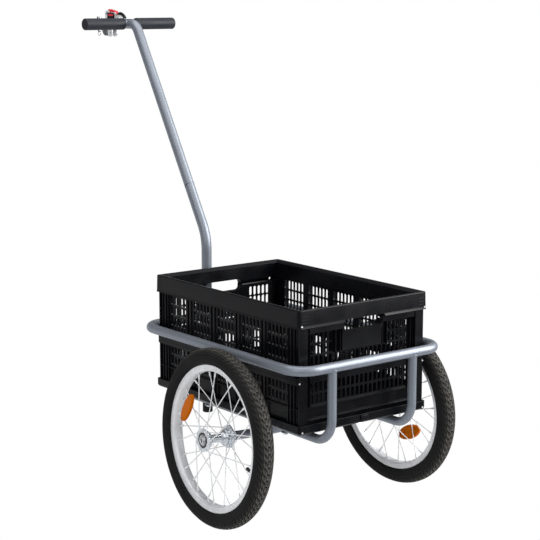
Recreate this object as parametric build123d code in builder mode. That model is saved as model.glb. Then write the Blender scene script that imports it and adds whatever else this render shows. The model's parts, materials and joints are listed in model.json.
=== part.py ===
"""Bicycle cargo trailer: tubular frame, folding crate, two spoked wheels, drawbar with coupling.

The trailer is modelled level, with +X towards the drawbar, +Y to the left, +Z up and the origin on
the ground under the middle of the axle.  Before export every piece is tipped about the axle until
the drawbar's foot stands on the ground, which is how the trailer parks, and the origin is moved to
the bottom centre of the parked trailer's bounding box.
"""
from build123d import *
from math import acos, atan2, cos, degrees, hypot, pi, radians, sin, tan
import os

os.makedirs("parts", exist_ok=True)

# ---------------------------------------------------------------- driving dimensions, millimetres
# wheels
wheel_radius = 200.0
tyre_section_radius = 22.4
tyre_wall = 4.2
track_half = 260.2
camber_angle = 2.6
toe_in_angle = 1.3
rim_outer_radius = 163.5
rim_width = 25.0
rim_flange_wall = 1.4
rim_bed_radius = 155.0
rim_inner_radius = 148.0
bead_clearance = 0.2

# hub, bearings and axle pins
flange_spacing = 66.0
flange_radius = 25.5
flange_wall = 3.2
hub_cup_radius = 19.6
hub_cup_length = 12.0
hub_barrel_radius = 9.3
bearing_outer_radius = 17.0
bearing_width = 9.0
axle_pin_radius = 6.0
axle_running_clearance = 0.05
hub_end_clearance = 0.4
axle_collar_radius = 9.2
axle_cap_radius = 13.0
axle_cap_length = 3.5
axle_plug_length = 32.0

# spokes
spokes_per_flange = 14
spoke_radius = 1.1
spoke_crossings = 2
spoke_phase = 2.0
spoke_head_radius = 1.9
spoke_flange_standoff = 2.4
nipple_seat_gap = 0.75
spoke_hole_inset = 3.6
spoke_hole_clearance = 0.15
nipple_radius = 2.1
nipple_length = 11.0
nipple_stagger = 3.0

# valve and reflectors
valve_radius = 3.0
valve_stem_length = 22.0
valve_cap_radius = 3.9
valve_cap_length = 13.0
reflector_length = 76.0
reflector_height = 34.0
reflector_depth = 7.0
left_reflector_radius = 99.5
left_reflector_angle = 58.4
right_reflector_radius = 82.0
right_reflector_angle = 202.6
right_wheel_turn = 183.2
left_reflector_seat = 1.3
right_reflector_seat = 0.4

# frame tubes
frame_tube_radius = 11.0
frame_tube_wall = 1.5
rail_height = 381.0
rail_rear_x = -222.0
rail_front_x = 373.0
rail_half_width = 204.5
rail_corner_radius = 48.0
cradle_spacing = 230.0
cradle_tube_radius = 10.0
cradle_height = 213.5
cradle_bend_radius = 52.0
cross_tube_height = 292.0
axle_tube_radius = 10.0
axle_tube_wall = 2.0
axle_tube_height = 194.0
crossbar_width = 30.0
crossbar_rear_x = -62.0
crossbar_front_x = 232.0
crossbar_overhang = 22.0

# drawbar
drawbar_x = 400.0
drawbar_radius = 12.5
drawbar_wall = 1.5
drawbar_foot_height = 130.0
drawbar_lower_knee_height = 574.0
drawbar_slope_angle = 31.0
drawbar_bend_radius = 120.0
drawbar_joint_height = 692.5
drawbar_joint_overlap = 70.0
drawbar_joint_wall_step = 0.4
handle_height = 1084.0
handle_bend_radius = 36.0
drawbar_nose_x = 792.0
foot_cap_length = 34.0
foot_cap_wall = 2.0
socket_clearance = 0.3
socket_wall = 3.2
socket_bottom_height = 262.0
socket_top_height = 412.0
gusset_thickness = 4.0

# handle
handle_x = 736.7
handle_tube_radius = 10.0
grip_radius = 14.8
grip_inner_y = 17.0
grip_outer_y = 134.5
grip_end_wall = 4.0

# coupling
running_clearance = 0.05
stem_length = 58.0
stem_collar_radius = 16.5
stem_collar_length = 5.0
cheek_gap = 12.0
cheek_plate = 3.0
cheek_rear_x = 798.0
cheek_length = 34.0
cheek_top_height = 1098.0
cheek_lobe_height = 1117.0
cheek_lobe_length = 20.0
cheek_bottom_height = 1050.0
hook_rear_x = 808.0
hook_length = 20.0
cheek_round = 8.0
jaw_rear_x = 822.0
jaw_front_x = 898.0
jaw_mouth_depth = 32.0
jaw_plate = 4.0
jaw_gap = 16.0
jaw_width = 26.0
jaw_keel_height = 1052.0
jaw_keel_length = 26.0
jaw_round = 4.0
cross_bore_radius = 4.05
cross_bore_x = 843.0
cross_bore_height = 1061.0
hitch_pin_radius = 4.0
hitch_pin_x = 885.0
hitch_pin_head_radius = 6.0
hitch_pin_head_height = 5.0
hitch_pin_drop = 12.0
pull_ring_radius = 6.0
pull_ring_wire = 0.9
latch_length = 28.6
latch_height = 18.0
latch_centre_x = 821.0
latch_centre_height = 1097.0
lever_front_x = 830.0
lever_rear_x = 796.0
lever_top_height = 1120.5
lever_bottom_height = 1106.0
lever_width = 11.4
lever_slot_length = 22.0
lever_slot_height = 3.0
lever_slot_angle = -6.0

# crate
crate_centre_x = 78.0
crate_bottom_height = 235.2
crate_top_height = 505.6
crate_top_length = 542.0
crate_top_width = 364.0
collar_height = 39.5
collar_flare = 1.8
collar_wall = 3.0
collar_skirt_height = 452.0
collar_skirt_half_width = 150.0
wall_inset = 4.6
wall_thickness = 3.0
wall_rib_depth = 8.0
wall_rib_width = 4.0
tray_length = 546.0
tray_width = 365.0
tray_height = 20.0
tray_wall = 3.0
tray_floor = 3.0
tray_bottom_chamfer = 4.0
panel_clearance = 0.6
side_fold_height = 351.0
hinge_pin_radius = 2.5
end_hinge_height = 455.0
panel_depth = 9.4
end_panel_setback = 14.0
end_wall_travel = 88.0
post_width = 14.0
belt_height = 8.0
belt_depth = 3.0
end_wall_side_clearance = 5.0
end_wall_floor_clearance = 5.0
end_hinge_barrel_radius = 5.0
slot_width = 8.6
slot_length = 22.0
slot_pitch_x = 12.8
slot_pitch_z = 24.9
slots_per_group = 6
side_groups = 5
side_group_pitch = 94.0
end_slots_per_group = 5
end_group_centre_y = 108.8
end_slot_top_height = 449.2
end_seam_height = 288.0
end_seam_width = 3.0
hand_panel_half_width = 56.0
hand_panel_gap = 4.0
end_band_slots = 22
upper_slot_top_height = 461.0
lower_slot_top_height = 341.0
handle_half_width = 52.0
handle_bottom_height = 445.0
handle_top_height = 472.0


# ---------------------------------------------------------------- shared directions and planes
def mirrored(sub_part):
    """The same piece on the other side of the trailer."""
    return mirror(sub_part.part, about=Plane.XZ)


axle_direction = Vector(
    sin(radians(toe_in_angle)) * cos(radians(camber_angle)),
    cos(radians(toe_in_angle)) * cos(radians(camber_angle)),
    sin(radians(camber_angle)),
)
hub_centre = Vector(0, track_half, wheel_radius)
wheel_forward = axle_direction.cross(Vector(0, 0, 1)).normalized()
wheel_up = wheel_forward.cross(axle_direction)
wheel_axis = Axis(hub_centre, axle_direction)
# in the wheel's section plane, local x is the radius and local y points out along the axle
wheel_section = Plane(origin=hub_centre, x_dir=wheel_forward, z_dir=wheel_up)
flange_offset = flange_spacing / 2
hub_end = flange_offset + flange_wall / 2
axle_tube_end = hub_end + hub_end_clearance + 15.0


def wheel_point(radius, angle, along):
    """A point of the left wheel, by radius, angle forward from the top, and distance outwards."""
    radial = wheel_up * cos(radians(angle)) + wheel_forward * sin(radians(angle))
    return hub_centre + radial * radius + axle_direction * along


hole_step = 360 / spokes_per_flange


def flange_hole_angle(flange_side, hole):
    """The angle of one spoke hole, forward from the top; the inner flange is half a step behind."""
    return spoke_phase + hole_step * (hole - (0.5 if flange_side < 0 else 0))


# ---------------------------------------------------------------- wheel pieces, left side
torus_radius = wheel_radius - tyre_section_radius
rim_half = rim_width / 2
bead_outer = rim_half - rim_flange_wall - bead_clearance
bead_thickness = 4.0
neck_radius = rim_outer_radius + 1.2
neck_half = rim_half + 0.6
shoulder_radius = rim_outer_radius + 3.0


def section_half_width(circle_radius, at_radius):
    """Half width of the tyre's round section at one distance from the axle."""
    return (circle_radius**2 - (torus_radius - at_radius) ** 2) ** 0.5


with BuildPart() as tyre_left:
    with BuildSketch(wheel_section):
        with BuildLine():
            outer_half = section_half_width(tyre_section_radius, shoulder_radius)
            inner_circle = tyre_section_radius - tyre_wall
            inner_start = shoulder_radius + 1.5
            inner_half = section_half_width(inner_circle, inner_start)
            Polyline(
                (rim_bed_radius + 0.5, bead_outer - bead_thickness),
                (rim_bed_radius + 0.5, bead_outer),
                (rim_outer_radius + 0.4, bead_outer),
                (neck_radius, neck_half),
                (shoulder_radius, outer_half),
            )
            ThreePointArc(
                (shoulder_radius, outer_half), (wheel_radius, 0), (shoulder_radius, -outer_half)
            )
            Polyline(
                (shoulder_radius, -outer_half),
                (neck_radius, -neck_half),
                (rim_outer_radius + 0.4, -bead_outer),
                (rim_bed_radius + 0.5, -bead_outer),
                (rim_bed_radius + 0.5, bead_thickness - bead_outer),
                (rim_outer_radius - 1.0, bead_thickness - bead_outer),
                (inner_start, -inner_half),
            )
            ThreePointArc(
                (inner_start, -inner_half), (torus_radius + inner_circle, 0), (inner_start, inner_half)
            )
            Polyline(
                (inner_start, inner_half),
                (rim_outer_radius - 1.0, bead_outer - bead_thickness),
                (rim_bed_radius + 0.5, bead_outer - bead_thickness),
            )
        make_face()
    revolve(axis=wheel_axis)

with BuildPart() as rim_left:
    with BuildSketch(wheel_section):
        with BuildLine():
            Polyline(
                (rim_outer_radius, rim_half),
                (rim_outer_radius, rim_half - rim_flange_wall),
                (rim_bed_radius, rim_half - rim_flange_wall),
                (rim_bed_radius, rim_flange_wall - rim_half),
                (rim_outer_radius, rim_flange_wall - rim_half),
                (rim_outer_radius, -rim_half),
                (rim_bed_radius, -rim_half),
                (rim_inner_radius + 1.5, 3.0 - rim_half),
                (rim_inner_radius, 6.0 - rim_half),
                (rim_inner_radius, rim_half - 6.0),
                (rim_inner_radius + 1.5, rim_half - 3.0),
                (rim_bed_radius, rim_half),
                close=True,
            )
        make_face()
    revolve(axis=wheel_axis)

spoke_hole_radius = flange_radius - spoke_hole_inset
bearing_bore = axle_pin_radius + axle_running_clearance
with BuildPart() as hub_left:
    with BuildSketch(wheel_section):
        with Locations((0, flange_offset), (0, -flange_offset)):
            Rectangle(flange_radius, flange_wall, align=(Align.MIN, Align.CENTER))
        for side in (1, -1):
            with Locations((0, side * hub_end)):
                Rectangle(hub_cup_radius, hub_cup_length, align=(Align.MIN, Align.MAX if side > 0 else Align.MIN))
        Rectangle(hub_barrel_radius, 2 * flange_offset, align=(Align.MIN, Align.CENTER))
        for side in (1, -1):
            with Locations((0, side * hub_end)):
                Rectangle(
                    bearing_outer_radius,
                    bearing_width + 0.8,
                    align=(Align.MIN, Align.MAX if side > 0 else Align.MIN),
                    mode=Mode.SUBTRACT,
                )
        Rectangle(bearing_bore + 1.2, 2 * hub_end, align=(Align.MIN, Align.CENTER), mode=Mode.SUBTRACT)
    revolve(axis=wheel_axis)
    for along in (flange_offset, -flange_offset):
        for hole in range(spokes_per_flange):
            angle = flange_hole_angle(along, hole)
            with BuildSketch(Plane(wheel_point(spoke_hole_radius, angle, along - flange_wall), z_dir=axle_direction)):
                Circle(spoke_radius + spoke_hole_clearance)
            extrude(amount=2 * flange_wall, mode=Mode.SUBTRACT)

with BuildPart() as bearings_left:
    with BuildSketch(wheel_section):
        for side in (1, -1):
            with Locations((bearing_bore, side * (hub_end - 0.8))):
                Rectangle(
                    bearing_outer_radius - bearing_bore,
                    bearing_width,
                    align=(Align.MIN, Align.MAX if side > 0 else Align.MIN),
                )
    revolve(axis=wheel_axis)

with BuildPart() as axle_pin_left:
    with BuildSketch(wheel_section):
        pin_inner_end = -(axle_tube_end + axle_plug_length)
        pin_cap_start = hub_end + hub_end_clearance
        with BuildLine():
            Polyline(
                (0, pin_inner_end),
                (axle_tube_radius - axle_tube_wall, pin_inner_end),
                (axle_tube_radius - axle_tube_wall, -axle_tube_end),
                (axle_collar_radius, -axle_tube_end),
                (axle_collar_radius, -hub_end - hub_end_clearance),
                (axle_pin_radius, -hub_end - hub_end_clearance),
                (axle_pin_radius, pin_cap_start),
                (axle_cap_radius, pin_cap_start),
                (axle_cap_radius, pin_cap_start + axle_cap_length),
                (0, pin_cap_start + axle_cap_length),
                close=True,
            )
        make_face()
    revolve(axis=wheel_axis)


def spoke(flange_side, head_outside, hub_angle, rim_angle):
    """One spoke of the left wheel with its elbow, head and nipple, as one round rod."""
    flange_middle = flange_side * flange_offset
    # a rod on the outer face stands off, so that it clears the flange's edge on its way in
    standoff = -(flange_wall / 2 + spoke_radius) if head_outside else (
        flange_wall / 2 + spoke_radius + spoke_flange_standoff)
    to_rod = flange_side * standoff
    elbow = wheel_point(spoke_hole_radius, hub_angle, flange_middle + to_rod)
    rim_end = wheel_point(rim_inner_radius - nipple_seat_gap, rim_angle, flange_side * nipple_stagger)
    run = rim_end - elbow
    through = axle_direction * (-1 if to_rod > 0 else 1)
    with BuildPart() as one_spoke:
        with BuildSketch(Plane(elbow, z_dir=run)):
            Circle(spoke_radius)
        extrude(amount=run.length)
        with Locations(elbow):
            Sphere(spoke_radius)
        with BuildSketch(Plane(elbow, z_dir=through)):
            Circle(spoke_radius)
        head_distance = abs(to_rod) + flange_wall / 2
        extrude(amount=head_distance + 0.6)
        with BuildSketch(Plane(elbow + through * head_distance, z_dir=through)):
            Circle(spoke_head_radius)
        extrude(amount=1.2)
        with BuildSketch(Plane(rim_end - run.normalized() * nipple_length, z_dir=run)):
            Circle(nipple_radius)
        extrude(amount=nipple_length)
    return one_spoke.part


all_spokes = []
for flange_side in (1, -1):
    for hole in range(spokes_per_flange):
        hub_angle = flange_hole_angle(flange_side, hole)
        leads = hole % 2 == 0
        lean = spoke_crossings * hole_step * (1 if leads else -1)
        all_spokes.append(spoke(flange_side, not leads, hub_angle, hub_angle + lean))

with BuildPart() as spokes_left:
    add(all_spokes)

# a reflector lies along the outer spokes, which lean in towards the rim
spoke_cone = atan2(flange_offset - nipple_stagger, rim_inner_radius - spoke_hole_radius)


def reflector(radius, angle, seat):
    """An oval reflector of the left wheel, clipped on the outer spokes at one radius and angle."""
    spokes_here = nipple_stagger + (rim_inner_radius - radius) * tan(spoke_cone)
    back = spokes_here + spoke_radius / cos(spoke_cone) + seat
    radial = wheel_point(1, angle, 0) - hub_centre
    face = Plane(
        wheel_point(radius, angle, back),
        x_dir=wheel_point(1, angle + 90, 0) - hub_centre,
        z_dir=axle_direction * cos(spoke_cone) + radial * sin(spoke_cone),
    )
    with BuildPart() as lens:
        with BuildSketch(face):
            Ellipse(reflector_length / 2, reflector_height / 2)
        extrude(amount=reflector_depth)
    return lens


reflector_left = reflector(left_reflector_radius, left_reflector_angle, left_reflector_seat)
reflector_right = reflector(right_reflector_radius, right_reflector_angle, right_reflector_seat)

# the valve stands midway between two spoke holes of the rim
valve_angle = spoke_phase - 8.5 * hole_step / 2
with BuildPart() as valve_left:
    valve_foot = (rim_inner_radius**2 - valve_radius**2) ** 0.5
    with BuildSketch(Plane(wheel_point(valve_foot, valve_angle, 0),
                           z_dir=hub_centre - wheel_point(rim_inner_radius, valve_angle, 0))):
        Circle(valve_radius)
    extrude(amount=valve_stem_length)
    with BuildSketch(Plane(wheel_point(rim_inner_radius - valve_stem_length + valve_cap_length, valve_angle, 0),
                           z_dir=hub_centre - wheel_point(rim_inner_radius, valve_angle, 0))):
        Circle(valve_cap_radius)
    extrude(amount=valve_cap_length + 1)


# ---------------------------------------------------------------- frame
def ring(outer_radius, wall):
    """A tube's cross-section, drawn in the current sketch."""
    Circle(outer_radius)
    Circle(outer_radius - wall, mode=Mode.SUBTRACT)


with BuildPart() as rail_loop:
    with BuildLine(Plane.XY.offset(rail_height)) as rail_path:
        FilletPolyline(
            (rail_front_x, -rail_half_width),
            (rail_front_x, rail_half_width),
            (rail_rear_x, rail_half_width),
            (rail_rear_x, -rail_half_width),
            radius=rail_corner_radius,
            close=True,
        )
    with BuildSketch(Plane(rail_path.line @ 0, z_dir=rail_path.line % 0)):
        ring(frame_tube_radius, frame_tube_wall)
    sweep()

axle_bend = wheel_point(0, 0, (axle_tube_height - wheel_radius) / axle_direction.Z)
axle_end = wheel_point(0, 0, -axle_tube_end)
with BuildPart() as axle_tube:
    with BuildLine() as axle_path:
        FilletPolyline(
            axle_end,
            axle_bend,
            Vector(axle_bend.X, -axle_bend.Y, axle_bend.Z),
            Vector(axle_end.X, -axle_end.Y, axle_end.Z),
            radius=200,
        )
    with BuildSketch(Plane(axle_path.line @ 0, z_dir=axle_path.line % 0)):
        ring(axle_tube_radius, axle_tube_wall)
    sweep()

cradle_y = cradle_spacing / 2
cradle_plane = Plane(origin=(0, cradle_y, 0), x_dir=(1, 0, 0), z_dir=(0, -1, 0))
with BuildPart() as cradle_tube_left:
    with BuildLine(cradle_plane) as cradle_path:
        FilletPolyline(
            (rail_rear_x, rail_height),
            (rail_rear_x, cradle_height),
            (rail_front_x, cradle_height),
            (rail_front_x, rail_height),
            radius=cradle_bend_radius,
        )
    with BuildSketch(Plane(cradle_path.line @ 0, z_dir=cradle_path.line % 0)):
        ring(cradle_tube_radius, frame_tube_wall)
    sweep()
    # the ends are coped round the rail, and the underside is notched for the axle tube
    with BuildSketch(cradle_plane):
        with Locations((rail_rear_x, rail_height), (rail_front_x, rail_height)):
            Circle(frame_tube_radius)
        with Locations((axle_bend.X, axle_tube_height)):
            Circle(axle_tube_radius)
    extrude(amount=2 * frame_tube_radius, both=True, mode=Mode.SUBTRACT)

with BuildPart() as front_cross_tube:
    with BuildSketch(Plane.XZ):
        with Locations((rail_front_x, cross_tube_height)):
            ring(frame_tube_radius, frame_tube_wall)
    extrude(amount=cradle_y, both=True)
    with BuildSketch(Plane.XY.offset(cross_tube_height - 2 * frame_tube_radius)):
        with Locations((rail_front_x, cradle_y), (rail_front_x, -cradle_y)):
            Circle(cradle_tube_radius)
    extrude(amount=4 * frame_tube_radius, mode=Mode.SUBTRACT)

socket_bore = drawbar_radius + socket_clearance
socket_radius = socket_bore + socket_wall
with BuildPart() as drawbar_socket:
    with BuildSketch(Plane.XY.offset(socket_bottom_height)):
        with Locations((drawbar_x, 0)):
            Circle(socket_radius)
            Circle(socket_bore, mode=Mode.SUBTRACT)
    extrude(amount=socket_top_height - socket_bottom_height)

gusset_width = 2 * socket_radius + 14
with BuildPart() as socket_gussets:
    for height in (rail_height, cross_tube_height):
        with BuildSketch(Plane.XY.offset(height - gusset_thickness / 2)):
            with Locations((rail_front_x, 0)):
                Rectangle(drawbar_x - rail_front_x + 4, gusset_width, align=(Align.MIN, Align.CENTER))
            with Locations((drawbar_x, 0)):
                Circle(socket_radius, mode=Mode.SUBTRACT)
        extrude(amount=gusset_thickness)
    with BuildSketch(Plane.XZ):
        with Locations((rail_front_x, rail_height), (rail_front_x, cross_tube_height)):
            Circle(frame_tube_radius)
    extrude(amount=gusset_width, both=True, mode=Mode.SUBTRACT)

knob_height = socket_top_height - 22
with BuildPart() as socket_knob:
    with BuildSketch(Plane(origin=(drawbar_x, 0, knob_height), x_dir=(1, 0, 0), z_dir=(0, 1, 0))):
        Circle(7)
    extrude(amount=socket_radius + 10)
    with BuildSketch(Plane(origin=(drawbar_x, socket_radius + 10, knob_height), z_dir=(0, 1, 0))):
        Circle(15)
    extrude(amount=14)
    fillet(faces().sort_by(Axis.Y)[-1].edges(), 4)
    with BuildSketch(Plane.XY.offset(knob_height - 30)):
        with Locations((drawbar_x, 0)):
            Circle(socket_radius)
    extrude(amount=60, mode=Mode.SUBTRACT)

crossbar_bottom = cradle_height + cradle_tube_radius
with BuildPart() as crate_crossbars:
    with BuildSketch(Plane.XY.offset(crossbar_bottom)):
        with Locations((crossbar_rear_x, 0), (crossbar_front_x, 0)):
            Rectangle(crossbar_width, cradle_spacing + 2 * crossbar_overhang)
    extrude(amount=crate_bottom_height - crossbar_bottom)

# ---------------------------------------------------------------- drawbar and handle
slope = tan(radians(drawbar_slope_angle))
joint_x = drawbar_x + (drawbar_joint_height - drawbar_lower_knee_height) * slope
upper_knee_x = drawbar_x + (handle_height - drawbar_lower_knee_height) * slope
slope_direction = Vector(sin(radians(drawbar_slope_angle)), 0, cos(radians(drawbar_slope_angle)))
joint_point = Vector(joint_x, 0, drawbar_joint_height)
section = Plane(origin=(0, 0, 0), x_dir=(1, 0, 0), z_dir=(0, -1, 0))
with BuildPart() as drawbar_lower:
    with BuildLine(section) as lower_path:
        FilletPolyline(
            (drawbar_x, drawbar_foot_height + foot_cap_length),
            (drawbar_x, drawbar_lower_knee_height),
            (joint_x, drawbar_joint_height),
            radius=drawbar_bend_radius,
        )
    with BuildSketch(Plane(lower_path.line @ 0, z_dir=lower_path.line % 0)):
        ring(drawbar_radius, drawbar_wall)
    sweep()

with BuildPart() as drawbar_upper:
    with BuildLine(section) as upper_path:
        FilletPolyline(
            (joint_x, drawbar_joint_height),
            (upper_knee_x, handle_height),
            (drawbar_nose_x, handle_height),
            radius=handle_bend_radius,
        )
    with BuildSketch(Plane(upper_path.line @ 0, z_dir=upper_path.line % 0)):
        ring(drawbar_radius, drawbar_wall)
    sweep()
    spigot_radius = drawbar_radius - drawbar_wall - 0.1
    with BuildSketch(Plane(joint_point + slope_direction * 20, z_dir=-slope_direction)):
        ring(drawbar_radius - drawbar_wall, 1.5)
    extrude(amount=20)
    with BuildSketch(Plane(joint_point, z_dir=-slope_direction)):
        ring(spigot_radius, 1.4)
    extrude(amount=drawbar_joint_overlap)

with BuildPart() as foot_cap:
    with BuildSketch(Plane.XY.offset(drawbar_foot_height)):
        with Locations((drawbar_x, 0)):
            Circle(drawbar_radius)
    extrude(amount=foot_cap_length)
    fillet(faces().sort_by(Axis.Z)[0].edges(), 1.5)
    with BuildSketch(Plane.XY.offset(drawbar_foot_height + foot_cap_length)):
        with Locations((drawbar_x, 0)):
            Circle(drawbar_radius - drawbar_wall)
    extrude(amount=22)

with BuildPart() as handle_tube:
    with BuildSketch(section):
        with Locations((handle_x, handle_height)):
            ring(handle_tube_radius, frame_tube_wall)
    extrude(amount=grip_outer_y - grip_end_wall, both=True)
    with BuildSketch(Plane.YZ.offset(handle_x - 2 * drawbar_radius)):
        with Locations((0, handle_height)):
            Circle(drawbar_radius)
    extrude(amount=4 * drawbar_radius, mode=Mode.SUBTRACT)

with BuildPart() as grip_left:
    with BuildSketch(Plane(origin=(handle_x, grip_inner_y, handle_height), z_dir=(0, 1, 0))):
        Circle(grip_radius)
    extrude(amount=grip_outer_y - grip_inner_y)
    fillet(faces().sort_by(Axis.Y)[-1].edges(), 4)
    fillet(faces().sort_by(Axis.Y)[0].edges(), 3)
    with BuildSketch(Plane(origin=(handle_x, grip_inner_y, handle_height), z_dir=(0, 1, 0))):
        Circle(handle_tube_radius)
    extrude(amount=grip_outer_y - grip_end_wall - grip_inner_y, mode=Mode.SUBTRACT)

# ---------------------------------------------------------------- coupling
cheek_outer = cheek_gap / 2 + cheek_plate
nose_inner_radius = drawbar_radius - drawbar_wall
jaw_middle_height = handle_height
with BuildPart() as coupling_head:
    # the stem turns inside the drawbar's nose, behind a collar
    with BuildSketch(Plane.YZ.offset(drawbar_nose_x - stem_length)):
        with Locations((0, handle_height)):
            Circle(nose_inner_radius - running_clearance)
    extrude(amount=stem_length + stem_collar_length)
    with BuildSketch(Plane.YZ.offset(drawbar_nose_x + 0.3)):
        with Locations((0, handle_height)):
            Circle(stem_collar_radius)
    extrude(amount=cheek_rear_x - drawbar_nose_x - 0.3)
    # two upright cheeks: a lobe below at the rear, and an ear above at the front
    cheek_front_x = cheek_rear_x + cheek_length
    with BuildSketch(section):
        with BuildLine():
            Polyline(
                (cheek_rear_x - 1, handle_height - drawbar_radius),
                (hook_rear_x, handle_height - drawbar_radius - cheek_plate),
                (hook_rear_x, cheek_bottom_height),
                (hook_rear_x + hook_length, cheek_bottom_height),
                (hook_rear_x + hook_length, handle_height - drawbar_radius),
                (cheek_front_x, handle_height - jaw_gap / 2),
                (cheek_front_x + cheek_round, cheek_top_height),
                (cheek_front_x + cheek_round, cheek_lobe_height),
                (cheek_front_x + cheek_round - cheek_lobe_length, cheek_lobe_height),
                (cheek_front_x + cheek_round - cheek_lobe_length, cheek_top_height),
                (cheek_rear_x - 1, cheek_top_height),
                close=True,
            )
        make_face()
        fillet(vertices().sort_by(Axis.Y)[-2:], cheek_round)
        fillet(vertices().sort_by(Axis.Y)[:2], cheek_round)
    extrude(amount=cheek_outer, both=True)
    with BuildSketch(Plane.XY.offset(cheek_bottom_height - 1)):
        with Locations((cheek_rear_x + cheek_round, 0)):
            Rectangle(2 * cheek_length, cheek_gap, align=(Align.MIN, Align.CENTER))
    extrude(amount=cheek_lobe_height - cheek_bottom_height + 2, mode=Mode.SUBTRACT)

with BuildPart() as coupling_jaw:
    # a block between the cheeks with a keel, which ends in two level tongues round a mouth
    with BuildSketch(section):
        with BuildLine():
            Polyline(
                (jaw_rear_x, jaw_middle_height + jaw_gap / 2 + jaw_plate),
                (jaw_front_x - jaw_mouth_depth, jaw_middle_height + jaw_gap / 2 + jaw_plate),
                (jaw_front_x - jaw_mouth_depth, jaw_middle_height - jaw_gap / 2 - jaw_plate),
                (jaw_rear_x + jaw_keel_length + 2 * jaw_plate, jaw_keel_height + jaw_plate),
                (jaw_rear_x + jaw_keel_length, jaw_keel_height),
                (jaw_rear_x + 2 * jaw_plate, jaw_keel_height),
                (jaw_rear_x, jaw_middle_height - jaw_gap / 2 - jaw_plate),
                close=True,
            )
        make_face()
        fillet(vertices().sort_by(Axis.Y)[:3], jaw_round)
    extrude(amount=cheek_gap / 2, both=True)
    for side in (-1, 1):
        tongue_height = jaw_middle_height + side * (jaw_gap + jaw_plate) / 2
        with BuildSketch(Plane.XY.offset(tongue_height - jaw_plate / 2)):
            with Locations((jaw_front_x - jaw_mouth_depth - jaw_plate, 0)):
                Rectangle(jaw_mouth_depth + jaw_plate - jaw_width / 2, jaw_width, align=(Align.MIN, Align.CENTER))
            with Locations((jaw_front_x - jaw_width / 2, 0)):
                Circle(jaw_width / 2)
        extrude(amount=jaw_plate)
    with BuildSketch(Plane.XY.offset(jaw_middle_height - jaw_gap)):
        with Locations((hitch_pin_x, 0)):
            Circle(hitch_pin_radius + running_clearance)
    extrude(amount=2 * jaw_gap, mode=Mode.SUBTRACT)
    with BuildSketch(section):
        with Locations((cross_bore_x, cross_bore_height)):
            Circle(cross_bore_radius)
    extrude(amount=cheek_gap, both=True, mode=Mode.SUBTRACT)

jaw_top = jaw_middle_height + jaw_gap / 2 + jaw_plate
jaw_bottom = jaw_middle_height - jaw_gap / 2 - jaw_plate
pin_bottom = jaw_bottom - hitch_pin_drop
with BuildPart() as hitch_pin:
    with BuildSketch(Plane.XY.offset(jaw_top)):
        with Locations((hitch_pin_x, 0)):
            Circle(hitch_pin_head_radius)
    extrude(amount=hitch_pin_head_height)
    fillet(faces().sort_by(Axis.Z)[-1].edges(), 1.5)
    with BuildSketch(Plane.XY.offset(pin_bottom)):
        with Locations((hitch_pin_x, 0)):
            Circle(hitch_pin_radius)
    extrude(amount=jaw_top - pin_bottom)
    chamfer(faces().sort_by(Axis.Z)[0].edges(), 1)
    # a wire ring hangs through the pin's end
    ring_centre = (hitch_pin_x, 0, pin_bottom + 3.5 - pull_ring_radius)
    with Locations(Location(ring_centre, (90, 0, 0))):
        Torus(pull_ring_radius, pull_ring_wire)

with BuildPart() as coupling_latch:
    with BuildSketch(section):
        with Locations((latch_centre_x, latch_centre_height)):
            RectangleRounded(latch_length, latch_height, 3)
        with BuildLine():
            Polyline(
                (jaw_rear_x, jaw_top),
                (jaw_front_x - jaw_mouth_depth, jaw_top),
                (jaw_front_x - jaw_mouth_depth, jaw_bottom),
                (jaw_rear_x, jaw_bottom),
                close=True,
            )
        make_face(mode=Mode.SUBTRACT)
    extrude(amount=cheek_gap / 2, both=True)

lever_middle_x = (lever_front_x + lever_rear_x) / 2
with BuildPart() as release_lever:
    with BuildSketch(section):
        with BuildLine():
            Polyline(
                (lever_front_x, lever_bottom_height),
                (lever_front_x, lever_top_height),
                (lever_rear_x + 4, lever_top_height - 5),
                (lever_rear_x, lever_bottom_height + 2),
                (lever_rear_x + 6, lever_bottom_height),
                close=True,
            )
        make_face()
    extrude(amount=lever_width / 2, both=True)
    with BuildSketch(section):
        with Locations((lever_middle_x, (lever_top_height + lever_bottom_height) / 2 - 2)):
            SlotOverall(lever_slot_length, lever_slot_height, rotation=lever_slot_angle)
    extrude(amount=lever_width, both=True, mode=Mode.SUBTRACT)

# ---------------------------------------------------------------- folding crate
crate_half_length = crate_top_length / 2
crate_half_width = crate_top_width / 2
collar_bottom_height = crate_top_height - collar_height
tray_top_height = crate_bottom_height + tray_height
panel_outer_y = crate_half_width - wall_inset
panel_inner_y = panel_outer_y - panel_depth
panel_half_length = crate_half_length - wall_inset


def crate_plane(height):
    """A horizontal plane at one height, centred on the crate."""
    return Plane(origin=(crate_centre_x, 0, height), x_dir=(1, 0, 0), z_dir=(0, 0, 1))


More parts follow.
